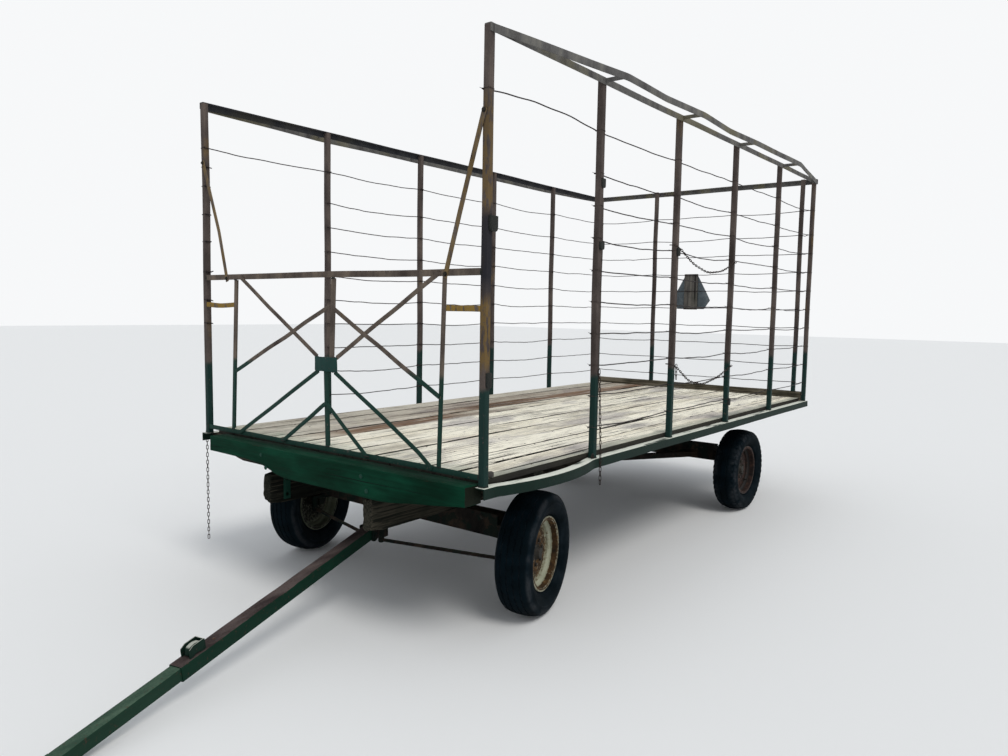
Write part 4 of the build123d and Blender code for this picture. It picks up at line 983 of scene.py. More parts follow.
# %% Angle iron
def angle_iron(start, end, a, b, legs, wall, seed, bow=0.0025, step=0.07):
    """Rings of a bar from start to end with legs along a and b: bow · sin(pi t) · slow ripple moves each
    ring aside and leaves the ends in place."""
    path = trace((start, end), step)
    a, b = np.array(a, float), np.array(b, float)
    swell = bow * np.sin(np.linspace(0, np.pi, len(path)))[:, None]
    sway = ripple(path, 0.7, seed)[:, None] * a + ripple(path, 0.7, seed + 1)[:, None] * b
    return carry(angle_section(legs[0], legs[1], wall), path + swell * sway, a, b)


# %% [markdown]
# ## Edge rails
#
# The posts stand on an angle along each side of the deck. On the left it has been knocked
# outwards in the first bay, in an arc: its offset is a circle's height over a chord, cut off
# at zero. The flange that looks up is near white: partly bare metal where its paint is lost,
# partly a painted highlight of sunlight on it.

# %% Edge rails
HALF_WIDTH, RAIL_Z, RAIL_LEG = 1.250, -0.030, 0.055
BULGE_Y, BULGE_REACH = -2.034, 0.461


def edge_rail(side, bulge, seed):
    """Rings every 50 mm along the wagon; x gains sqrt(R² - (y - middle)²) - (R - bulge) where that is
    positive."""
    y = np.linspace(-2.590, 2.590, 106)
    radius = BULGE_REACH ** 2 / (2 * max(bulge, 1e-9)) + bulge / 2
    height = np.sqrt(np.maximum(radius ** 2 - (y - BULGE_Y) ** 2, 0)) - (radius - bulge)
    out = HALF_WIDTH + np.maximum(height, 0) * (bulge > 0)
    path = np.stack([side * out, y, np.full_like(y, RAIL_Z)], -1)
    rings = carry(angle_section(0.060, RAIL_LEG, 0.006), path, (-side, 0, 0), (0, 0, -1))
    leg = np.clip(RAIL_Z - rings[..., 2], 0, 1) / RAIL_LEG
    rings[..., 0] += side * 0.0022 * leg * ripple(rings, 0.35, seed)
    return rings


for side, name, bulge in ((1, "left", 0.072), (-1, "right", 0.0)):
    make(f"edge_angle_{name}", [skin(edge_rail(side, bulge, 60 + side))], "wagon", EDGE_FINISH,
         [f"edge_rail_{name}"])


# %% [markdown]
# ## Posts
#
# Six posts stand on each side and three at the rear. All are turned the same way: the corner
# of the angle is at the front left, and its legs run to the right and to the rear. A bead of
# weld runs round each foot.

# %% Posts
LEG, POST_X = 0.036, 1.215
POST_IN, POST_OUT = POST_X - LEG / 2, POST_X + LEG / 2
POST_ROW = FRONT + BAY * np.arange(6)
REAR_ROW = (-0.495, 0.395, 1.110)
POST_PLACES = {
    "left": [(POST_X, y) for y in POST_ROW],
    "right": [(-POST_X, y) for y in POST_ROW],
    "rear": [(x, REAR) for x in REAR_ROW],
}


def weld_bead(points, radius, seed):
    """A lumpy rope of weld along points: radius (1 + 0.3 quick ripple)."""
    path = trace(points, 0.004, 0.003)
    ends = np.clip(8 * np.sin(np.linspace(0.03, np.pi - 0.03, len(path))), 0.2, 1)
    grow = (1 + 0.3 * ripple(path, 0.006, seed)) * ends
    across = unit(np.cross(unit(np.gradient(path, axis=0)), (0.37, 0.21, 0.90)))
    return skin(carry(circle(radius, 6), path, across, grow=grow))


# heights on the left front post, how much gold paint shows and how much painted shade darkens it
GOLD = (0.52, 0.57, 0.90, 0.93, 1.30, 1.34, 1.82, 1.88), (0, 0.8, 0.8, 0, 0, 0.65, 0.5, 0)
PAINTED_SHADE = (0.90, 0.95, 1.28, 1.34), (0, 0.92, 0.80, 0)
foot_welds = []
for name, places in POST_PLACES.items():
    foot, top = (RAIL_Z, 2.165) if name != "rear" else (0.060, 2.185)
    shells = []
    for k, (x, y) in enumerate(places):
        x, y, z = x + LEG / 2, y - LEG / 2, foot + 0.001
        post = angle_iron((x, y, foot), (x, y, top), (-1, 0, 0), (0, 1, 0), (LEG, LEG), 0.005,
                          seed=70 + 3 * k + len(name), bow=0.003)
        shells.append(skin(post))
        foot_welds.append(weld_bead([(x, y + LEG, z), (x, y, z), (x - LEG, y, z)], 0.004, k))
    heights = np.concatenate([shell[0][:, 2] for shell in shells])
    first = np.arange(len(heights)) < len(shells[0][0]) * (name == "left")
    marks = {"gold": first * np.interp(heights, *GOLD), "painted_shade": first * np.interp(heights, *PAINTED_SHADE)}
    make(f"rack_posts_{name}", shells, "wagon", POST_FINISH, [f"posts_{name}"], marks=marks)
make("foot_welds", foot_welds, "wagon", WELD_FINISH)


# %% [markdown]
# ## Top rails and bowed rails
#
# An angle caps the posts of each side: one leg lies over their tops and the other hangs down
# outside them. A second, flat rail is held out from it by short bars, for bales that
# overhang. It was bent at every bar and pushed in between them, so its line is a run of
# straights with small bends, which `trace` rounds. It starts and ends at the corner posts.

# %% Top rails
def top_rail(start, end, a, leg, seed):
    """Angle iron with one leg along a and the other hanging."""
    return skin(angle_iron(start, end, a, (0, 0, -1), (leg, leg), 0.005, seed, bow=0.002))


SEAT = 0.0003
RAIL_OUT, RAIL_END, RAIL_TOP = POST_OUT + SEAT + 0.005, 2.573, 2.1703
# columns: name, start, end, direction of the level leg, leg
TOP_RAILS = (
    ("left", (RAIL_OUT, -RAIL_END, RAIL_TOP), (RAIL_OUT, RAIL_END, RAIL_TOP), (-1, 0, 0), 0.040),
    ("right", (-RAIL_OUT, -RAIL_END, RAIL_TOP), (-RAIL_OUT, RAIL_END, RAIL_TOP), (1, 0, 0), 0.040),
    ("rear", (-POST_OUT, 2.6183, 2.185), (POST_OUT, 2.6183, 2.185), (0, -1, 0), 0.045),
)
for k, (name, start, end, inward, leg) in enumerate(TOP_RAILS):
    shell = top_rail(start, end, inward, leg, 90 + 5 * k)
    # the far, right top rail is darkened by painted shade, three quarters of the way
    make(f"rack_top_{name}", [shell], "wagon", TOP_RAIL_FINISH, [f"top_rail_{name}"],
         marks={"painted_shade": np.full(len(shell[0]), 0.75 * (name == "right"))})

# columns: how far out the flat rail runs at each post, and halfway to the next one
BOWS = {
    1: ((0.0056, 0.078), (0.150, 0.130), (0.158, 0.130), (0.150, 0.150), (0.162, 0.084), (0.0056, 0)),
    -1: ((0.0056, 0.052), (0.098, 0.092), (0.100, 0.092), (0.098, 0.095), (0.096, 0.050), (0.0056, 0)),
}
bow = []
for side, bays in BOWS.items():
    out = np.array(bays).ravel()[:-1]
    y = FRONT + BAY / 2 * np.arange(len(out))
    line = trace(np.stack([side * (POST_OUT + 0.003 + out), y, np.full(len(out), 2.145)], -1), 0.03, 0.020)
    line[:, 2] += 0.0015 * ripple(line, 0.8, 7)
    bow.append(skin(carry(flat_section(0.006, 0.040, 0.0018), line, (1, 0, 0), (0, 0, 1))))
    for step in range(1, 5):
        reach = (RAIL_OUT + SEAT, POST_OUT + out[2 * step] - 0.0005)
        arm = trace([(side * x, POST_ROW[step], 2.1525) for x in reach], 0.03)
        bow.append(skin(carry(flat_section(0.005, 0.025, 0.0012), arm, (0, 1, 0), (0, 0, 1))))
make("bowed_rails", bow, "wagon", TOP_RAIL_FINISH, ["bow_rails"])


# %% [markdown]
# ## The front gate
#
# A half-height gate stands between the front posts: two rails, leaning stiles and two short
# rails, all of light angle iron. The middle stile is in two lengths that pass each other
# behind a gusset plate. Below and above the plate, flat bars cross the gate like a truss, and
# one of them has taken a knock and is bent near its foot.

# %% Gate frame
GATE_Y, GATE_LOW, GATE_TOP, SHORT_RAIL = -2.573, 0.003, 1.040, 0.860
STILE_LOW, STILE_TOP = 0.0333, 1.0047
PLATE_LOW, PLATE_TOP = 0.4705, 0.5535
# columns: x at the foot, x at the top, foot's height, top's height, leg
STILES = (
    (-0.905, -0.853, STILE_LOW, STILE_TOP, 0.030),
    (0.053, 0.038, STILE_LOW, PLATE_TOP, 0.036),
    (0.087, 0.109, PLATE_LOW, STILE_TOP, 0.036),
    (0.932, 0.962, STILE_LOW, STILE_TOP, 0.030),
)
END = POST_IN - SEAT


def stile_x(stile, z):
    """X of a stile's middle at height z."""
    foot, top, low, high = stile[:4]
    return foot + (top - foot) * (z - low) / (high - low)


def gate_angle(start, end, b, leg, seed):
    """Light angle iron with one leg to the rear and the other along b."""
    return skin(angle_iron(start, end, (0, 1, 0), b, (leg, leg), 0.004, seed, bow=0.003))


gate = [
    gate_angle((-END, GATE_Y, GATE_LOW), (END, GATE_Y, GATE_LOW), (0, 0, 1), 0.030, 110),
    gate_angle((-END, GATE_Y, GATE_TOP), (END, GATE_Y, GATE_TOP), (0, 0, -1), 0.035, 113),
]
for side, stile in ((-1, STILES[0]), (1, STILES[3])):
    inner = stile_x(stile, SHORT_RAIL) + side * 0.0155
    ends = (side * END, GATE_Y, SHORT_RAIL), (inner, GATE_Y, SHORT_RAIL)
    gate.append(gate_angle(*ends, (0, 0, -1), 0.030, 120 + side))
for foot, top, low_z, high_z, leg in STILES:
    path = trace([(foot - leg / 2, GATE_Y, low_z), (top - leg / 2, GATE_Y, high_z)], 0.06)
    gate.append(skin(carry(angle_section(leg, leg, 0.004), path, (1, 0, 0), (0, 1, 0))))
gold = np.concatenate([np.full(len(shell[0]), float(k in (2, 3))) for k, shell in enumerate(gate)])
make("gate_angles", gate, "wagon", GATE_FINISH, ["gate_frame"], marks={"gold": gold})


# %% Gate braces and gusset
def flat_bar(points, y, seed, width=0.025, thick=0.005):
    """A flat bar in the gate's plane through points (x, z); y is its middle, one or one per point."""
    y = np.broadcast_to(y, len(points))
    corners = [(x, depth, z) for (x, z), depth in zip(points, y)]
    path = trace(corners, 0.025, 0.012)
    swell = np.sin(np.linspace(0, np.pi, len(path)))
    path[:, 2] += 0.002 * swell * ripple(path, 0.3, seed)
    return skin(carry(flat_section(width, thick, 0.0012), path, other=(0, 1, 0)))


def crossing(a, b, c, d):
    """Where the line through a and b meets the line through c and d."""
    a, b, c, d = (np.array(p) for p in (a, b, c, d))
    run, other, gap = b - a, d - c, c - a
    share = (gap[0] * other[1] - gap[1] * other[0]) / (run[0] * other[1] - run[1] * other[0])
    return tuple(a + run * share)


def on_stile(row, z, inward):
    """The point (x, z) that lies inward of a stile's middle."""
    return stile_x(STILES[row], z) + inward, z


near, far = GATE_Y - 0.0028, GATE_Y - 0.0081
high_z, low_z, plate_x = 1.0225, 0.018, 0.052
right_top = (on_stile(0, high_z, 0.055), (plate_x - 0.082, PLATE_TOP))
left_top = (on_stile(3, high_z, -0.032), (plate_x + 0.089, PLATE_TOP))
bars = [
    flat_bar(right_top, near, 131),
    flat_bar(left_top, near, 132),
    flat_bar(((plate_x - 0.072, PLATE_LOW), on_stile(0, low_z, 0.083)), near, 133),
    flat_bar(((plate_x + 0.071, PLATE_LOW), on_stile(3, 0.094, -0.145), on_stile(3, low_z, -0.042)), near,
             134),
    flat_bar(((-0.364, low_z), on_stile(1, 0.284, 0), (0.393, low_z)), near, 135),
]
long_bars = (
    (on_stile(0, 0.416, 0.024), on_stile(2, 0.844, -0.026), right_top),
    (on_stile(3, 0.396, -0.009), on_stile(2, 0.833, 0.014), left_top),
)
for outer, inner, under in long_bars:
    bars.append(flat_bar((outer, crossing(outer, inner, *under), inner), (near, far, near), 140))
make("gate_flats", bars, "wagon", GATE_FINISH, ["gate_braces"])

half = (PLATE_TOP - PLATE_LOW) / 2
corners = rounded([(-0.0975, -half), (0.0975, -half), (0.0975, half), (-0.0975, half)], 0.006, 4)
levels = np.array([0, 0.0008, 0.0042, 0.005])
path = np.stack([np.full(4, plate_x), far - 0.0025 + levels, np.full(4, PLATE_LOW + half)], -1)
plate = carry(spread(corners, 0.02), path, (1, 0, 0), (0, 0, 1), [0.985, 1, 1, 0.985])
plate[..., 1] += 0.0012 * ripple(plate, 0.09, 3)
make("gate_gusset", [skin(plate)], "wagon", GUSSET_FINISH)


# %% Post braces and the gate's welds
# how far out each side's brace is at its bend and at its foot
BRACE_X = {1: (1.062, 0.965), -1: (1.030, 0.942)}


def post_brace(side):
    """A flat bar bent once, from the front post down to the gate's top rail."""
    bend, foot = BRACE_X[side]
    points = [(side * 1.209, 1.787), (side * bend, 1.320), (side * foot, 0.995)]
    return flat_bar(points, near, 150 + side, 0.028)


def level_bead(x, half, y, z, seed):
    """A bead of weld across the wagon, half to each side of x."""
    return weld_bead([(x - half, y, z), (x + half, y, z)], 0.0035, seed)


braces = [post_brace(side) for side in BRACE_X]
make("corner_braces", braces, "wagon", GATE_FINISH, ["post_braces"],
     marks={"gold": np.full(sum(len(shell[0]) for shell in braces), 0.4)})
beads, weld_y = [], GATE_Y - 0.001
for k, (foot, top, low_z, high_z, leg) in enumerate(STILES):
    ends = [(x, z) for x, z in ((foot, low_z), (top, high_z)) if z in (STILE_LOW, STILE_TOP)]
    beads += [level_bead(x, leg / 2, weld_y, z, 10 + k) for x, z in ends]
# columns: x of the middle, z, half the length
BAR_WELDS = (
    (-0.364, 0.018, 0.02),
    (0.393, 0.018, 0.02),
    (-0.02, PLATE_LOW, 0.022),
    (0.123, PLATE_LOW, 0.022),
    (-0.03, PLATE_TOP, 0.015),
    (0.134, PLATE_TOP, 0.012),
)
beads += [level_bead(x, half, near - 0.003, z, 20) for x, z, half in BAR_WELDS]
for side in (1, -1):
    for ends in ((0.004, 0.032), (1.007, 1.038)):
        beads.append(weld_bead([(side * END, weld_y, z) for z in ends], 0.004, 31))
make("gate_welds", beads, "wagon", WELD_FINISH)
spots = []
for side, (_, foot) in BRACE_X.items():
    spots += [(side * out, near - 0.0028, z) for out, z in ((1.206, 1.776), (foot + 0.005, 1.014))]
make("brace_bolts", bolts(spots, (0, -1, 0), 0.010), "wagon", BOLT_FINISH)


# %% [markdown]
# ## Lugs on the posts
#
# A few posts carry a stub of an old bracket: a plate with a rounded foot, welded flat to the
# outer face, where the side chains hook in.

# %% Lugs
def lug(y, low, high, wide, thick):
    """Plate lying on a post's outer face, from height low to high and wide along the wagon, rounded
    below."""
    tall = high - low
    outline = rounded([(-wide / 2, 0), (wide / 2, 0), (wide / 2, tall), (-wide / 2, tall)],
                      [0.4 * wide, 0.4 * wide, 0.003, 0.003], 5)
    path = [(POST_OUT - 0.0003 + out, y, low) for out in np.array([0, 0.1, 0.9, 1]) * thick]
    return skin(carry(spread(outline, 0.01), path, (0, 1, 0), (0, 0, 1), [1, 1, 1, 0.93]))


# columns: post, how far behind its middle, low end, high end, how wide and thick
LUGS = (
    (0, 0.018, 1.212, 1.288, 0.060, 0.014),
    (0, 0.004, 0.460, 0.535, 0.040, 0.010),
    (1, 0.008, 1.552, 1.606, 0.040, 0.009),
    (1, 0.004, 1.198, 1.244, 0.040, 0.014),
    (2, 0.004, 1.228, 1.284, 0.036, 0.013),
    (3, 0.004, 0.108, 0.163, 0.036, 0.013),
)
plates = [lug(POST_ROW[post] + behind, *sizes) for post, behind, *sizes in LUGS]
make("post_lugs", plates, "wagon", WELD_FINISH)


# %% [markdown]
# ## Wires
#
# Plain wire closes the sides. It is pulled through by hand and tied at each post, so it
# hangs a centimetre or so in every bay and carries small waves. In the first bay only the
# top wire is left and it has been pushed up; the others are cut off short.

# %% Wires
WIRE = 0.0037
TOP_WIRE = 1.875
WIRE_ROWS = 0.155 + 0.185 * np.arange(9)
WIRE_X, WIRE_Y = POST_IN - WIRE - SEAT, REAR - LEG / 2 - WIRE - SEAT
REAR_WIRE_END = 1.187
REAR_STOPS = np.array([-REAR_WIRE_END, *REAR_ROW, REAR_WIRE_END])


def wire(start, end, stops, seed, drop=0.021):
    """A wire along X or Y, tied at stops: it sinks by drop · loose · 4 t (1 - t), with t the share of
    the way from one tie to the next and loose a number per bay, and waves by a quick ripple."""
    start, end = np.array(start), np.array(end)
    length = np.linalg.norm(end - start)
    inner = np.arange(0.04, length - 0.02, 0.048)
    s = np.concatenate([[0, 0.005, 0.011, 0.018], inner, [length - 0.011, length]])
    path = start + (end - start) / length * s[:, None]
    place = path[:, np.argmax(np.abs(end - start))]
    t = np.interp(place, stops, np.arange(len(stops))) % 1.0
    loose = np.random.default_rng(seed).uniform(0.15, 1.0, len(stops) + 1)
    loose[0] = -1.5 if seed == 0 else loose[0]
    path[:, 2] -= drop * loose[np.maximum(np.searchsorted(stops, place) - 1, 0)] * 4 * t * (1 - t)
    waves = 0.0014 * ripple(path, 0.10, seed) + 0.002 * ripple(path, 0.45, seed)
    path[:, 2] += np.minimum(1, np.minimum(s, length - s) / 0.1) * waves
    curl = np.clip(1 - s / 0.018, 0, 1) ** 2
    path[:, 2] += curl * 0.005 * np.sin(seed * 2.4)
    across = unit(np.cross((0, 0, 1), end - start))
    return skin(carry(circle(WIRE, 5), path, across))


for side, name in ((1, "left"), (-1, "right")):
    x = side * WIRE_X
    rows = [(TOP_WIRE, POST_ROW, 0 if side > 0 else 50)]
    rows += [(z, POST_ROW[1:], 11 * side + 20 + k) for k, z in enumerate(WIRE_ROWS)]
    strands = [wire((x, posts[0] - 0.025, z), (x, REAR + 0.010, z), posts, seed) for z, posts, seed in rows]
    make(f"rack_wires_{name}", strands, "wagon", WIRE_FINISH, [f"wires_{name}"], 60)
strands = [wire((-REAR_WIRE_END, WIRE_Y, z), (REAR_WIRE_END, WIRE_Y, z), REAR_STOPS, 70 + k, 0.014)
           for k, z in enumerate([*WIRE_ROWS, TOP_WIRE])]
make("rack_wires_rear", strands, "wagon", WIRE_FINISH, ["wires_rear"], 60)


# %% [markdown]
# ## Ties and cut ends
#
# Each wire is held to its post by two turns of thinner wire, pulled tight round the angle
# iron, with the twisted end left sticking out. One tie is drawn for each kind of post and
# copied to all the crossings. The right front post keeps a row of cut ends from the bay that
# was opened.

# %% Ties and cut ends
def closed_bar(flat, z, section):
    """A bar that closes on itself: section carried round the line flat (x, y) at the heights z, as
    place + u (run × up) + v up."""
    path = np.column_stack([flat, z])
    run = unit(np.roll(path, -1, 0) - np.roll(path, 1, 0))
    out, up = unit(np.cross(run, (0, 0, 1))), np.array((0, 0, 1))
    return skin(path[:, None] + section[:, :1] * out[:, None] + section[:, 1:] * up, loop=True)


def tie(corners, tilt):
    """Closed ring of thin wire through corners (x, y) about a post's middle; z = tilt · the sine of the
    share of the way round."""
    flat = rounded(corners, 0.0022, 3)
    turn = np.arange(len(flat)) / len(flat) * 2 * np.pi
    return closed_bar(flat, tilt * np.sin(turn), circle(0.0009, 4))


def tail(start, end):
    """The twisted end of a tie, thick where it starts."""
    path = trace((start, end), 0.004)
    across = unit(np.cross(np.subtract(end, start), (0.3, 0.2, 0.9)))
    return skin(carry(circle(0.0018, 5), path, across, grow=np.linspace(1, 0.45, len(path))))


OVER, BY = LEG / 2 + 0.0012, LEG / 2 + 2 * WIRE + 0.0014
TIE_CORNERS = {
    "left": [(-BY, -OVER), (OVER, -OVER), (OVER, OVER), (-BY, -0.011)],
    "right": [(-OVER, -OVER), (BY, -OVER), (BY, OVER), (-OVER, -0.011)],
    "rear": [(-OVER, -BY), (OVER, -BY), (OVER, OVER), (-OVER, -0.011)],
}
TAILS = {
    "left": ((-BY, -0.015, 0.002), (-BY - 0.009, -0.027, 0.007)),
    "right": ((BY, -0.015, 0.002), (BY + 0.009, -0.024, 0.008)),
    "rear": ((0.010, -BY, 0.002), (0.004, -BY - 0.010, 0.009)),
}


def tie_at(kind, spots):
    """Two turns and a twisted end at each of spots."""
    corners = TIE_CORNERS[kind]
    turns = [copies(tie(corners, 0.002), np.eye(3), np.add(spots, (0, 0, lift))) for lift in (-0.0012,
                                                                                              0.0012)]
    return turns + [copies(tail(*TAILS[kind]), np.eye(3), spots)]


ties = []
for side, name in ((1, "left"), (-1, "right")):
    y, z = (v.ravel() for v in np.meshgrid(POST_ROW[1:], WIRE_ROWS))
    y, z = np.append(y, POST_ROW), np.append(z, np.full(6, TOP_WIRE))
    ties += tie_at(name, np.stack([np.full(len(y), side * POST_X), y, z], -1))
x, z = (v.ravel() for v in np.meshgrid(REAR_ROW, [*WIRE_ROWS, TOP_WIRE]))
ties += tie_at("rear", np.stack([x, np.full(len(x), REAR), z], -1))
make("wire_ties", ties, "wagon", TIE_FINISH, crease=60)

CUT_ENDS = (1.751, 1.626, 1.441, 1.262, 1.062, 0.874, 0.719)
dice = np.random.default_rng(12)
ends = []
for z in CUT_ENDS:
    lift, reach = dice.uniform(-0.006, 0.008), dice.uniform(0.020, 0.034)
    bends = [(-WIRE_X, FRONT - 0.024, z), (-WIRE_X, FRONT + 0.012, z), (-1.192, FRONT + reach, z + lift)]
    path = trace(bends, 0.006, 0.006)
    ends.append(skin(carry(circle(WIRE, 5), path, (1, 0, 0))))
ends += tie_at("right", [(-POST_X, FRONT, z) for z in CUT_ENDS])
make("cut_wires", ends, "wagon", WIRE_FINISH, crease=60)


# %% [markdown]
# ## Chains
#
# A chain is one link copied along a line, every second link turned by a quarter. The line is
# given by a few points that it hangs through, and read off at even steps, so the links never
# stretch. The link itself is a round bar carried round a stadium: two straights and two half
# circles.

# %% Chains
LINK_PITCH, LINK_BAR, LINK_BEND = 0.0260, 0.0024, 0.0060


def link():
    """Bar of radius LINK_BAR round a stadium in the XY plane, long along Y."""
    flat = circle(LINK_BEND, 16, np.pi / 16)
    flat[:, 1] += (LINK_PITCH / 2 + LINK_BAR - LINK_BEND) * np.sign(flat[:, 1])
    return closed_bar(flat, np.zeros(16), circle(LINK_BAR, 5))


def chain(points, ease, seed):
    """Links along the rounded line through points: link k sits at the line's place at (k + 1/2) · pitch,
    turned by 45° + 90° k and a few degrees more."""
    line = trace(points, 0.004, ease)
    along = np.append(0, np.cumsum(np.linalg.norm(np.diff(line, axis=0), axis=1)))
    count = int(along[-1] / LINK_PITCH)
    s = (np.arange(count) + 0.5) * along[-1] / count
    behind, spots, ahead = (np.stack([np.interp(s + shift, along, line[:, k]) for k in range(3)], -1)
                            for shift in (-0.01, 0, 0.01))
    run = unit(ahead - behind)
    side = unit(np.cross(run, (0.94, 0.21, 0.27)))
    other = np.cross(run, side)
    roll = np.radians(45 + 90 * np.arange(count) + np.random.default_rng(seed).normal(scale=7,
                                                                                      size=count))[:, None]
    wide = np.cos(roll) * side + np.sin(roll) * other
    return copies(link(), np.stack([wide, run, np.cross(wide, run)], -1), spots)


# columns: places (x, y, z) that the chain hangs through, with y from the post named at the end
OUT_X, DROP_X, FAR_X = 1.2425, 1.2575, -1.2585
UPPER = ((1.188, -0.028, 1.303), (1.236, -0.029, 1.300), (OUT_X + 0.002, -0.020, 1.298),
         (OUT_X, 0, 1.292), (OUT_X, 0.060, 1.262), (OUT_X, 0.250, 1.185), (OUT_X, 0.500, 1.137),
         (OUT_X, 0.760, 1.160), (OUT_X, BAY - 0.04, 1.228), (OUT_X, BAY + 0.02, 1.246))
LOWER = ((1.188, -0.028, 0.486), (1.236, -0.029, 0.484), (OUT_X + 0.002, -0.020, 0.482),
         (OUT_X, 0.03, 0.462), (OUT_X, 0.240, 0.350), (OUT_X, 0.480, 0.312), (OUT_X, 0.740, 0.345),
         (OUT_X, BAY - 0.03, 0.412), (OUT_X, BAY + 0.02, 0.428))
LOOSE_END = ((OUT_X, 0.024, 0.482), (OUT_X, 0.026, 0.395), (OUT_X, 0.028, 0.378))
NEAR_DROP = ((OUT_X, 0.008, 0.500), (OUT_X, 0.012, 0.470), (1.2550, 0.022, 0.070),
             (DROP_X, 0.023, -0.020), (DROP_X, 0.026, -0.190))
FAR_DROP = ((FAR_X, 0.005, -0.020), (FAR_X, 0.005, -0.400), (FAR_X, 0.005, -0.782))
# columns: places, post, how far a corner is eased
CHAINS = ((UPPER, 2, 0.07), (LOWER, 2, 0.07), (LOOSE_END, 2, 0.01), (NEAR_DROP, 1, 0.05), (FAR_DROP, 0, 0.0))
chains = [chain(np.add(places, (0, POST_ROW[post], 0)), ease, seed + 1)
          for seed, (places, post, ease) in enumerate(CHAINS)]
make("side_chains", chains, "wagon", CHAIN_FINISH, ["rack_chains"], crease=60)
print("links", sum(len(shell[0]) for shell in chains) // 80)


# %% [markdown]
# ## The rear sign
#
# The plate's outline is drawn once and shrunk to its own middle for the inner rings, so that
# the border and the middle of its face are parts of one surface. It is bolted to a board,
# and the board is held to the rear wires by staples.

# %% Rear sign
SIGN_X, SIGN_Y, SIGN_Z = -0.043, 2.5562, 1.072
ends = [(SIGN_X, 2.546, z) for z in (0.878, 1.266)]
board = timber(spread(flat_section(0.155, 0.020, 0.002), 0.02), *ends, (1, 0, 0), 340, 0.0006, 0.0009)
make("sign_board", [skin(board)], "wagon", BACKING_FINISH)
SIGN_CORNERS = [
    (-0.155, -0.188), (0.155, -0.188), (0.223, -0.093),
    (0.069, 0.188), (-0.069, 0.188), (-0.223, -0.093),
]
corners = spread(rounded(SIGN_CORNERS, 0.006, 4), 0.03)
share = np.array([0.04, 0.3, 0.55, 0.70, 0.735, 0.9, 0.985, 1.0])
share = np.append(share, share[::-1])
level = np.array([0.0] * 7 + [0.0005, 0.0025] + [0.0030] * 7)
path = np.stack([np.full(16, SIGN_X), SIGN_Y + level, np.full(16, SIGN_Z)], -1)
plate = carry(corners, path, (1, 0, 0), (0, 0, 1), share)
far_out = np.clip((np.abs(plate[..., 0] - SIGN_X) - 0.080) / 0.14, 0, 1)
plate[..., 1] += far_out * (0.0055 + 0.004 * ripple(plate, 0.22, 8))
inside = np.repeat(1 - share, len(corners))
make("sign_plate", [skin(plate)], "wagon", SIGN_FINISH, ["rear_sign"], marks={"inside": inside})
spots = [(SIGN_X + side * dx, SIGN_Y + 0.003, SIGN_Z + dz)
         for dx, dz in ((0.045, 0.13), (0.050, -0.13)) for side in (-1, 1)]
fittings = bolts(spots, (0, 1, 0), 0.006)
hoop = trace([(-0.011, 2.540, 0), (-0.011, 2.5315, 0), (0.011, 2.5315, 0), (0.011, 2.540, 0)], 0.003, 0.003)
staple = skin(carry(circle(0.0012, 5), hoop, (0, 0, 1)))
turned = [[0, 0, 1], [0, 1, 0], [-1, 0, 0]]
fittings.append(copies(staple, turned, [(SIGN_X + dx, 0, z) for dx in (-0.05, 0.05) for z in (0.895, 1.080)]))
make("sign_fittings", fittings, "wagon", BOLT_FINISH)


# %% [markdown]
# ## Softened solids
#
# The running gear's blocks, pins and forks already have the right shapes; only their edges
# are too sharp. A copy of the solid's mesh has its doubled points merged and its flat areas
# joined into single faces, and a Bevel modifier rounds the edges that are left. The solid
# itself is hidden.

# %% Softened solids
def softened(name, node, body, width):
    """Copy of a solid of the running gear with its edges rounded by width."""
    work = bmesh.new()
    work.from_mesh(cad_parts[node].data)
    bmesh.ops.remove_doubles(work, verts=work.verts, dist=0.00001)
    bmesh.ops.dissolve_limit(work, angle_limit=math.radians(1.0), verts=work.verts, edges=work.edges)
    bmesh.ops.recalc_face_normals(work, faces=work.faces)
    mesh = bpy.data.meshes.new(name)
    work.to_mesh(mesh)
    work.free()
    mesh.materials.clear()
    mesh.materials.append(GEAR_FINISH)
    piece = bpy.data.objects.new(name, mesh)
    bpy.context.scene.collection.objects.link(piece)
    mesh.shade_smooth()
    mesh.set_sharp_from_angle(angle=math.radians(35))
    bevel = piece.modifiers.new("rounded edges", "BEVEL")
    bevel.width = width
    bevel.segments = 2
    bevel.limit_method = "ANGLE"
    bevel.angle_limit = math.radians(50)
    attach(piece, body)
    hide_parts(node)
    print(name, "faces", len(mesh.polygons))


# columns: piece, solid, body, width of its rounded edges
GEAR = [
    ("bolster_beams", "bolsters", "wagon", 0.004),
    ("front_axle", "axle_front", "wagon", 0.003),
    ("rear_axle", "axle_rear", "wagon", 0.003),
    ("reach_tube", "reach_pole", "wagon", 0.006),
    ("hound_braces", "hounds", "wagon", 0.003),
    ("turning_yoke", "steering_yoke", "steering_yoke", 0.0015),
]
for side in ("left", "right"):
    GEAR.append((f"knuckle_fork_{side}", f"knuckle_{side}", f"knuckle_{side}", 0.0015))
    GEAR.append((f"steering_rod_{side}", f"tie_rod_{side}", f"tie_rod_{side}", 0.001))
for piece_and_solid in GEAR:
    softened(*piece_and_solid)


# %% [markdown]
# ## Bolts and welds of the running gear
#
# Each bolster is bolted down to its axle and each stake to its sill. The braces are welded
# to the reach. These sit in plain view from the side and from below.

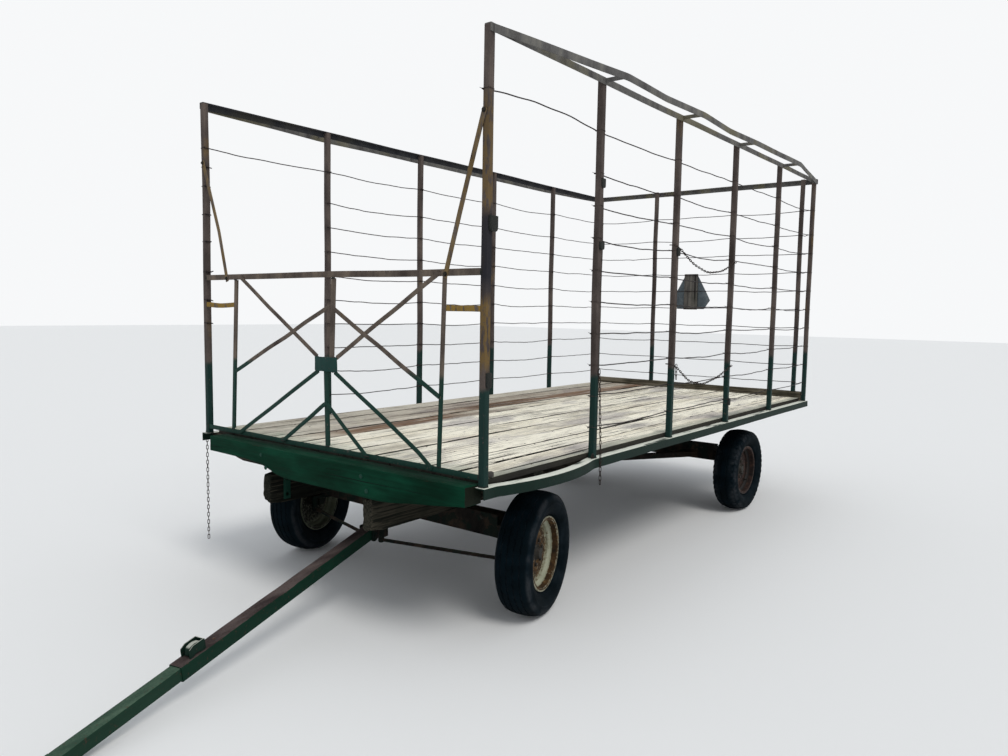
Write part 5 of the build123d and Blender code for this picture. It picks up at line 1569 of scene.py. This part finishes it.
# %% Bolts and welds of the running gear
FRONT_AXLE, REAR_AXLE = -1.835, 1.415
fasteners = []
for way in (-1, 1):
    spots = [(x, y + way * 0.0501, -0.4176) for y in (FRONT_AXLE, REAR_AXLE) for x in (-0.66, -0.25, 0.25,
                                                                                       0.66)]
    fasteners += bolts(spots, (0, way, 0), 0.011)
for side in (1, -1):
    stakes = [(side * 0.511, y + dy, -0.340) for y in (FRONT_AXLE, REAR_AXLE) for dy in (-0.015, 0.015)]
    fasteners += bolts(stakes, (side, 0, 0), 0.008)
make("gear_bolts", fasteners, "wagon", BOLT_FINISH)
seams = []
for y, way, run in ((FRONT_AXLE, 1, 0.640), (REAR_AXLE, -1, 0.900)):
    for side in (1, -1):
        end = y + way * (0.040 + run * 0.90)
        seams.append(weld_bead([(side * 0.0385, end - way * back, -0.467) for back in (0.03, 0.16)],
                               0.004, 61))
make("gear_welds", seams, "wagon", WELD_FINISH)


# %% [markdown]
# ## The tongue
#
# The tongue is a square tube with a smaller bar sliding in it. It lies with its tip on the
# ground, and turned a little to the left, so it is drawn level and straight ahead first and
# then lowered about its pin and turned about the steering pin, by the same two angles as the
# solid. The tube is one closed surface: its rings run forwards along the outside and back
# along the inside, where they are smaller. The bar has a tenth of a millimetre of room in
# it, so neither of them gets any waves where they meet.

# %% Tongue tube
YOKE_Y, TILT, STEER = -2.055, math.radians(9.597), math.radians(13.5)
PIN_Y, TONGUE_Z = -2.245, -0.550
TUBE, TUBE_INSIDE, BAR, BAR_INSIDE = 0.038, 0.032, 0.0319, 0.0239


def turned_about(points, x, y, angle):
    """Points turned about a vertical line."""
    dx, dy = points[..., 0] - x, points[..., 1] - y
    c, s = math.cos(angle), math.sin(angle)
    return np.stack([x + c * dx - s * dy, y + s * dx + c * dy, points[..., 2]], -1)


def lowered(points):
    """Level tongue to parked tongue: tilt about the pin, then turn about the steering pin."""
    dy, dz = points[..., 1] - PIN_Y, points[..., 2] - TONGUE_Z
    c, s = math.cos(TILT), math.sin(TILT)
    tilted = np.stack([points[..., 0], PIN_Y + c * dy - s * dz, TONGUE_Z + s * dy + c * dz], -1)
    return turned_about(tilted, 0, YOKE_Y, STEER)


def square(half, corner):
    """A square outline about its middle with rounded corners."""
    return spread(rounded([(-half, -half), (half, -half), (half, half), (-half, half)], corner, 4), 0.02)


def shell_of(outline, inside, outer, inner, ends, grow):
    """Rings of a hollow bar along the tongue: forwards over the places outer, shrunk at its ends to
    grow, and back over the places inner, where the outline is inside times as big."""
    axes = (1, 0, 0), (0, 0, 1)
    return carry(outline, level(outer), *axes, np.interp(outer, ends, grow)), carry(outline * inside,
                                                                                    level(inner), *axes)


def level(y):
    """Places on the level tongue's middle line."""
    return np.stack([np.zeros_like(y), y, np.full_like(y, TONGUE_Z)], -1)


front, back = -3.775, -2.203
ends = [front, front + 0.0015, back - 0.0015, back]
outside = np.concatenate([ends[:2], np.linspace(front + 0.01, back - 0.01, 60), ends[2:]])
rings, inner = shell_of(square(TUBE, 0.009), TUBE_INSIDE / TUBE, outside, np.linspace(back, front, 40), ends,
                        [0.975, 1, 1, 0.975])
crown = rings[..., 2] > TONGUE_Z + 0.030
dents = np.exp(-((rings[..., 1] + 3.05) / 0.05) ** 2) + 0.8 * np.exp(-((rings[..., 1] + 2.62) / 0.035) ** 2)
rings[..., 2] -= crown * (0.0011 * dents + 0.0004 * (1 + ripple(rings, 0.2, 4)))
tube = skin(np.concatenate([rings, inner]), loop=True)
make("tongue_tube", [moved(tube, lowered)], "tongue", SLEEVE_FINISH, ["tongue_sleeve"])


# %% [markdown]
# ## The latch
#
# A box of bent plate, open at the top, sits on the tube and guards the lever that holds the
# bar. Each wall is a plate: an outline carried through its thickness, with the first and last
# ring drawn in. The near wall has a slot cut at its foot, where the dirt falls out.

# %% Latch
def plate(outline, start, across, other, thick):
    """Outline (u, v) standing on start and carried thick along across × other."""
    across, other = np.array(across, float), np.array(other, float)
    run = np.cross(across, other)
    levels = np.array([0, 0.12, 0.88, 1]) * thick
    path = np.array(start) + run * levels[:, None]
    middle = np.mean(outline, 0)
    grow = np.array([0.97, 1, 1, 0.97])[:, None, None]
    rings = path[:, None] + middle[0] * across + middle[1] * other
    shape = np.asarray(outline) - middle
    return skin(rings + grow * (shape[:, :1] * across + shape[:, 1:] * other))


side_wall = [(0, 0), (0.096, 0), (0.096, 0.049), (0.089, 0.052), (0.027, 0.052), (0.004, 0.040), (0, 0.034)]
slotted = [(0, 0), (0.026, 0), (0.028, 0.007), (0.062, 0.007), (0.064, 0)] + side_wall[1:]
end_wall = [(0, 0), (0.046, 0), (0.046, 0.049), (0, 0.049)]
LATCH_FRONT, LATCH_BACK, foot_z = -3.713, -3.617, -0.512
# columns: outline, corner that it stands on, direction of its length, thickness
WALLS = (
    (slotted, (0.028, LATCH_FRONT, foot_z), (0, 1, 0), -0.005),
    (side_wall, (-0.028, LATCH_FRONT, foot_z), (0, 1, 0), 0.005),
    (end_wall, (-0.023, LATCH_BACK, foot_z), (1, 0, 0), 0.005),
)
walls = [plate(rounded(outline, 0.0012), foot, run, (0, 0, 1), thick) for outline, foot, run, thick in WALLS]
LEVER = ((-3.625, -0.500), (-3.630, -0.474), (-3.665, -0.467), (-3.698, -0.475), (-3.702, -0.505))
lever = trace([(0, y, z) for y, z in LEVER], 0.004, 0.012)
walls.append(skin(carry(flat_section(0.024, 0.009, 0.003), lever, (1, 0, 0))))
pin = [(x, -3.674, -0.482) for x in (-0.0278, -0.026, 0.026, 0.0278)]
walls.append(skin(carry(circle(0.005, 10), pin, (0, 1, 0), (0, 0, 1))))
make("latch_box", [moved(shell, lowered) for shell in walls], "tongue", LATCH_FINISH,
     ["tongue_latch"])
# columns: front end, back end, seed
LATCH_WELDS = ((LATCH_FRONT + 0.002, -3.690, 71), (-3.648, LATCH_BACK - 0.002, 72))
seams = [weld_bead([(side * 0.0285, y, foot_z - 0.0005) for y in ends], 0.0022, seed)
         for *ends, seed in LATCH_WELDS for side in (1, -1)]
make("latch_welds", [moved(shell, lowered) for shell in seams], "tongue", WELD_FINISH)
dome = button([0.0085, 0.0085, 0.007, 0.003], [-0.001, 0.0006, 0.0022, 0.0028], 12)
rivet = copies(dome, np.eye(3), [(0.004, -3.545, foot_z - 0.0005)])
make("tongue_rivet", [moved(rivet, lowered)], "tongue", NAIL_FINISH)


# %% [markdown]
# ## The sliding bar and its hitch
#
# The bar is a tube with its front end closed, and two ears for the hitch pin. An ear is drawn
# round its hole: one station for each direction, and at each the edge lies where the outline
# is in that direction, on a half circle in front and on a rectangle behind.

# %% Sliding bar
tip, root = -4.360, -3.255
ends = [tip, tip + 0.0015]
outside = np.concatenate([ends, np.linspace(tip + 0.01, root, 40)])
rings = shell_of(square(BAR, 0.006), BAR_INSIDE / BAR, outside, np.linspace(root, tip + 0.010, 12), ends,
                 [0.96, 1])
bar = [skin(np.concatenate(rings))]

turn = np.arange(64) * 2 * np.pi / 64
ahead, beside = np.sin(turn), np.abs(np.cos(turn))
with np.errstate(divide="ignore"):
    behind = np.minimum(BAR / beside, 0.0631 / np.maximum(ahead, 1e-9))
edge = np.where(ahead > 0, behind, BAR)
hole = np.full(64, 0.013)
radii = np.stack([hole, hole + 0.0012, edge - 0.0012, edge, edge, edge - 0.0012, hole + 0.0012, hole], -1)
for low_z in (0.020, -0.032):
    heights = TONGUE_Z + low_z + np.array([0.0108, 0.012, 0.012, 0.0108, 0.0012, 0, 0, 0.0012])
    ear = np.stack([radii * np.cos(turn)[:, None], -4.4231 + radii * np.sin(turn)[:, None],
                    np.broadcast_to(heights, radii.shape)], -1)
    bar.append(skin(ear, loop=True))
make("sliding_bar", [moved(shell, lowered) for shell in bar], "drawbar", BAR_FINISH,
     ["tongue_bar"])


# %% [markdown]
# ## Tyres
#
# A tyre is a profile turned about the axle, and what makes it a tyre is how the profile
# changes on the way round. Each point of the profile has its width x and radius r as arrays
# over the turn. The front tyres have four zigzag grooves: the columns of a groove move
# sideways by a triangle wave, and its floor lies 6 mm down. The rear ones have two grooves
# and shoulders cut into blocks: there the stations are bunched at the blocks' edges, and the
# radius drops between them. Raised bands give the wall its steps.

# %% Tyres
def arc(a, b, c, count):
    """Points of the circle through a, b and c, from a to c."""
    a, b, c = (np.array(p, float) for p in (a, b, c))
    matrix = 2 * np.array([b - a, c - a])
    middle = np.linalg.solve(matrix, [b @ b - a @ a, c @ c - a @ a])
    angles = np.unwrap([math.atan2(*(p - middle)[::-1]) for p in (a, b, c)])
    t = np.linspace(angles[0], angles[2], count)
    return middle + np.linalg.norm(a - middle) * np.stack([np.cos(t), np.sin(t)], -1)


def wall_profile():
    """One side wall as (x, r, dust) from the bead to the tread's edge, in metres. Steps stand out by a
    millimetre or two, square to the arc."""
    line = arc((0.067, 0.226), (0.111, 0.288), (0.089, 0.353), 36)
    out = unit(line - (0.046, 0.288))
    r = line[:, 1]
    band = lambda low, high: np.clip((r - low) / 0.0015, 0, 1) * np.clip((high - r) / 0.0015, 0, 1)
    bead_ring, scuff_rib, shoulder = band(0.232, 0.243), band(0.296, 0.303), band(0.325, 0.348)
    steps = 0.0020 * bead_ring + 0.0016 * scuff_rib + 0.0020 * shoulder
    line = line + out * (steps - 0.0020)[:, None]
    outer = np.clip((r - 0.312) / 0.02, 0, 1) * np.clip((0.353 - r) / 0.01, 0, 1)
    dust = 0.15 + 0.35 * scuff_rib + 0.75 * outer
    bead = np.array([(0.061, 0.204), (0.064, 0.215)])
    return np.vstack([bead, line]), np.concatenate([[0.2, 0.3], dust])


WHEEL_R, HALF_TREAD, TREAD_DROP = 0.365, 0.089, 0.012


def crown(x):
    """Radius of the tread's arc at width x."""
    radius = (HALF_TREAD ** 2 + TREAD_DROP ** 2) / (2 * TREAD_DROP)
    return WHEEL_R - radius + np.sqrt(radius ** 2 - x ** 2)


def tyre(stations, columns, block=None):
    """Shell of a tyre and its dust. columns: x, depth and sideways swing of each line of the tread;
    block(turn) is how deep the shoulders are cut at each station."""
    wall, wall_dust = wall_profile()
    x, depth, swing = columns.T
    zigzag = np.abs((stations * 44 / (2 * np.pi)) % 1 - 0.5) * 4 - 1
    tread_x = x[:, None] + swing[:, None] * zigzag
    tread_r = crown(tread_x) - depth[:, None]
    if block is not None:
        cut = np.clip((np.abs(tread_x) - 0.060) / 0.004, 0, 1) * block(stations)
        tread_r = tread_r - 0.009 * cut
    both = lambda values: np.broadcast_to(values[:, None], (len(values), len(stations)))
    lower = both(wall[:, 1]).copy()
    across = both(wall[:, 0]).copy()
    if block is not None:
        near_edge = np.clip((lower - 0.318) / 0.012, 0, 1) * block(stations)
        across = across - 0.0075 * near_edge
        lower = lower - 0.003 * near_edge
    grid_x = np.concatenate([-across, tread_x, across[::-1]])
    grid_r = np.concatenate([lower, tread_r, lower[::-1]])
    shoulder = 0.9 * np.clip((np.abs(x) - 0.058) / 0.02, 0, 1) * (block is not None)
    dust = np.concatenate([wall_dust, np.clip(depth / 0.024, 0, 1) + shoulder, wall_dust[::-1]])
    rings = np.stack([grid_x, grid_r * np.sin(stations), grid_r * np.cos(stations)], -1)
    return skin(rings, loop=True), np.repeat(dust, len(stations))


def grooves(middles, half, depth, swing, edge=0.0865):
    """Columns of a tread: each groove has its two rims and a floor, and ribs get a middle line."""
    rows = [(-edge, 0.001, 0.0)]
    for middle in middles:
        left = [(-half - 0.006, 0, swing * 0.6), (-half, 0, swing), (-half + 0.002, depth, swing)]
        rows += [(middle + x, *rest) for x, *rest in left + [(-x, *rest) for x, *rest in left[::-1]]]
    return np.array(rows + [(edge, 0.001, 0.0)])


STATIONS, BLOCKS = 264, 42


def block_gap(turn):
    """How deep the shoulder is cut at an angle: a trapezium wave, BLOCKS times round."""
    return np.interp(turn * BLOCKS / (2 * np.pi) % 1.0, [0, 0.05, 0.52, 0.57, 1], [0, 1, 1, 0, 0])


around = np.arange(STATIONS) * 2 * np.pi / STATIONS
ribbed = tyre(around, grooves((-0.057, -0.019, 0.019, 0.057), 0.0045, 0.006, 0.0030))
phase = np.add.outer(np.arange(BLOCKS), [0.0, 0.05, 0.30, 0.52, 0.57, 0.80]).ravel()
blocky = tyre(phase * 2 * np.pi / BLOCKS, grooves((-0.026, 0.026), 0.005, 0.006, 0.002), block_gap)

TRACK, WHEEL_Z, KINGPIN_X = 1.000, GROUND + WHEEL_R, 0.870
# columns: corner, side, axle's y, slot of its rim
CORNERS = (
    ("front_left", 1, FRONT_AXLE, "rim_cream"),
    ("front_right", -1, FRONT_AXLE, "rim_green"),
    ("rear_left", 1, REAR_AXLE, "rim_brown"),
    ("rear_right", -1, REAR_AXLE, "rim_brown"),
)


def at_corner(shell, side, y, spin=0.0):
    """A wheel's shell at its corner: rolled by spin, mirrored on the right, and turned with the steering
    at the front. Mirroring turns faces inside out, so their corners are read backwards."""
    points, corners, sizes = shell
    c, s = math.cos(spin), math.sin(spin)
    points = points @ np.array([(1, 0, 0), (0, c, s), (0, -s, c)])
    points = points * (side, 1, 1) + (side * TRACK, y, WHEEL_Z)
    if y == FRONT_AXLE:
        points = turned_about(points, side * KINGPIN_X, y, STEER)
    return (points, corners[::-1], sizes[::-1]) if side < 0 else (points, corners, sizes)


for corner, side, y, _ in CORNERS:
    shell, dust = ribbed if y == FRONT_AXLE else blocky
    shells = [at_corner(shell, side, y, side + y)]
    make(f"rubber_{corner}", shells, f"wheel_{corner}", TYRE_FINISH, [f"tyre_{corner}"],
         marks={"dust": dust})


# %% [markdown]
# ## Wheels
#
# The rim, the disc and the hub are turned shapes. A turned shape is a line of points (width,
# radius), each swept into a ring, and the rings are joined one after the other. Corners of
# the line are rounded first, so a flange has its rolled lip. A rim or a disc closes on
# itself, and a hub ends at its middle.

# %% Wheels
def swept(profile, count, closed):
    """Rings about X through the points (x, r) of profile."""
    ring = circle(1.0, count)
    x, r = np.asarray(profile).T
    rings = np.stack([np.repeat(x[:, None], count, 1), np.outer(r, ring[:, 0]), np.outer(r, ring[:, 1])], -1)
    return skin(rings, loop=closed)


barrel = [
    (-0.075, 0.220), (-0.067, 0.220), (-0.067, 0.2037), (-0.030, 0.2037), (-0.022, 0.186), (0.022, 0.186),
    (0.030, 0.2037),
    (0.067, 0.2037), (0.067, 0.220), (0.075, 0.220), (0.075, 0.1987), (0.026, 0.1987), (0.019, 0.181),
    (-0.019, 0.181),
    (-0.026, 0.1987), (-0.075, 0.1987),
]
barrel = spread(rounded(barrel, [0.0035, 0.0035, 0.001, 0.004, 0.003, 0.003, 0.004, 0.001, 0.0035, 0.0035,
                                 0.004, 0.006, 0.005,
                                 0.005, 0.006, 0.004], 4), 0.007)
disc = [(0.012, 0.0201), (0.018, 0.0201), (0.018, 0.112), (0.015, 0.132), (0.004, 0.152), (0.004, 0.184),
        (-0.004, 0.184),
        (-0.004, 0.148), (0.008, 0.128), (0.012, 0.112)]
disc = rounded(disc, [0.0005, 0.0005, 0.006, 0.006, 0.008, 0.001, 0.001, 0.008, 0.006, 0.006], 4)
x, r = np.concatenate([barrel, disc]).T
# inside the rim the paint is gone from the outer seat, and it lasts on the slope and on the disc's edge
rusting = np.interp(x, (-0.010, 0.0, 0.020, 0.026, 0.034, 0.042, 0.072, 0.0750),
                    (-0.9, -0.2, -0.6, -1.2, -0.9, 1.0, 1.1, -0.1))
rusting = np.where(r > 0.202, np.interp(r, (0.202, 0.212, 0.217), (0.9, 0.6, -0.5)), rusting)
rusting = np.where(r > 0.176, rusting, np.interp(r, (0.05, 0.13, 0.17), (1.0, 0.7, 0.4)))
count = 96
nut_places = np.column_stack([np.full(6, 0.0175), circle(0.070, 6)])
HUB = (
    (0.044, 0.002), (0.044, 0.027), (0.043, 0.0305), (0.0405, 0.032), (0.0375, 0.0335), (0.036, 0.0345),
    (0.022, 0.0425), (0.019, 0.0475), (0.017, 0.0480), (0.012, 0.046), (-0.047, 0.046), (-0.048, 0.045),
    (-0.048, 0.0201), (0.037, 0.0201), (0.037, 0.002),
)
hub = swept(HUB, 48, False)
stem = trace([(0.004, -0.172, 0), (0.030, -0.176, 0), (0.046, -0.170, 0)], 0.006, 0.008)
valve = skin(carry(circle(0.0040, 8), stem, (0, 0, 1)))
PAINT = {"rim_cream": CREAM_FINISH, "rim_green": GREEN_WHEEL_FINISH, "rim_brown": BROWN_WHEEL_FINISH}
for corner, side, y, slot in CORNERS:
    spin = side + y
    shells = [at_corner(swept(part, count, True), side, y, spin) for part in (barrel, disc)]
    make(f"wheel_disc_{corner}", shells, f"wheel_{corner}", PAINT[slot], [f"rim_{corner}"],
         marks={"edge": np.repeat(rusting, count)})
    parts = [hub, valve] + bolts(nut_places, (1, 0, 0), 0.0125)
    make(f"hub_{corner}", [at_corner(part, side, y, spin) for part in parts], f"wheel_{corner}",
         HUB_FINISH)


# %% [markdown]
# ## Odds and ends
#
# A block of old timber is wedged behind the left front post, and a loop of bent bar is left
# at the foot of the next one.

# %% Odds and ends
ends = (1.155, -2.500, 0.0155), (1.185, -2.445, 0.0155)
block = timber(spread(flat_section(0.034, 0.028, 0.004), 0.01), *ends, (0.88, -0.48, 0), 401, 0.0006,
               0.0012, 0.02)
make("foot_block", [skin(block)], "wagon", BACKING_FINISH)
y = POST_ROW[1]
HOOK = ((1.238, -0.040, -0.028), (1.238, -0.044, -0.006), (1.236, -0.030, 0.004), (1.234, -0.018, -0.006),
        (1.236, -0.020, -0.028))
loop = trace([(x, y + back, z) for x, back, z in HOOK], 0.003, 0.006)
make("rail_hook", [skin(carry(circle(0.0032, 8), loop, (1, 0, 0)))], "wagon", CHAIN_FINISH)
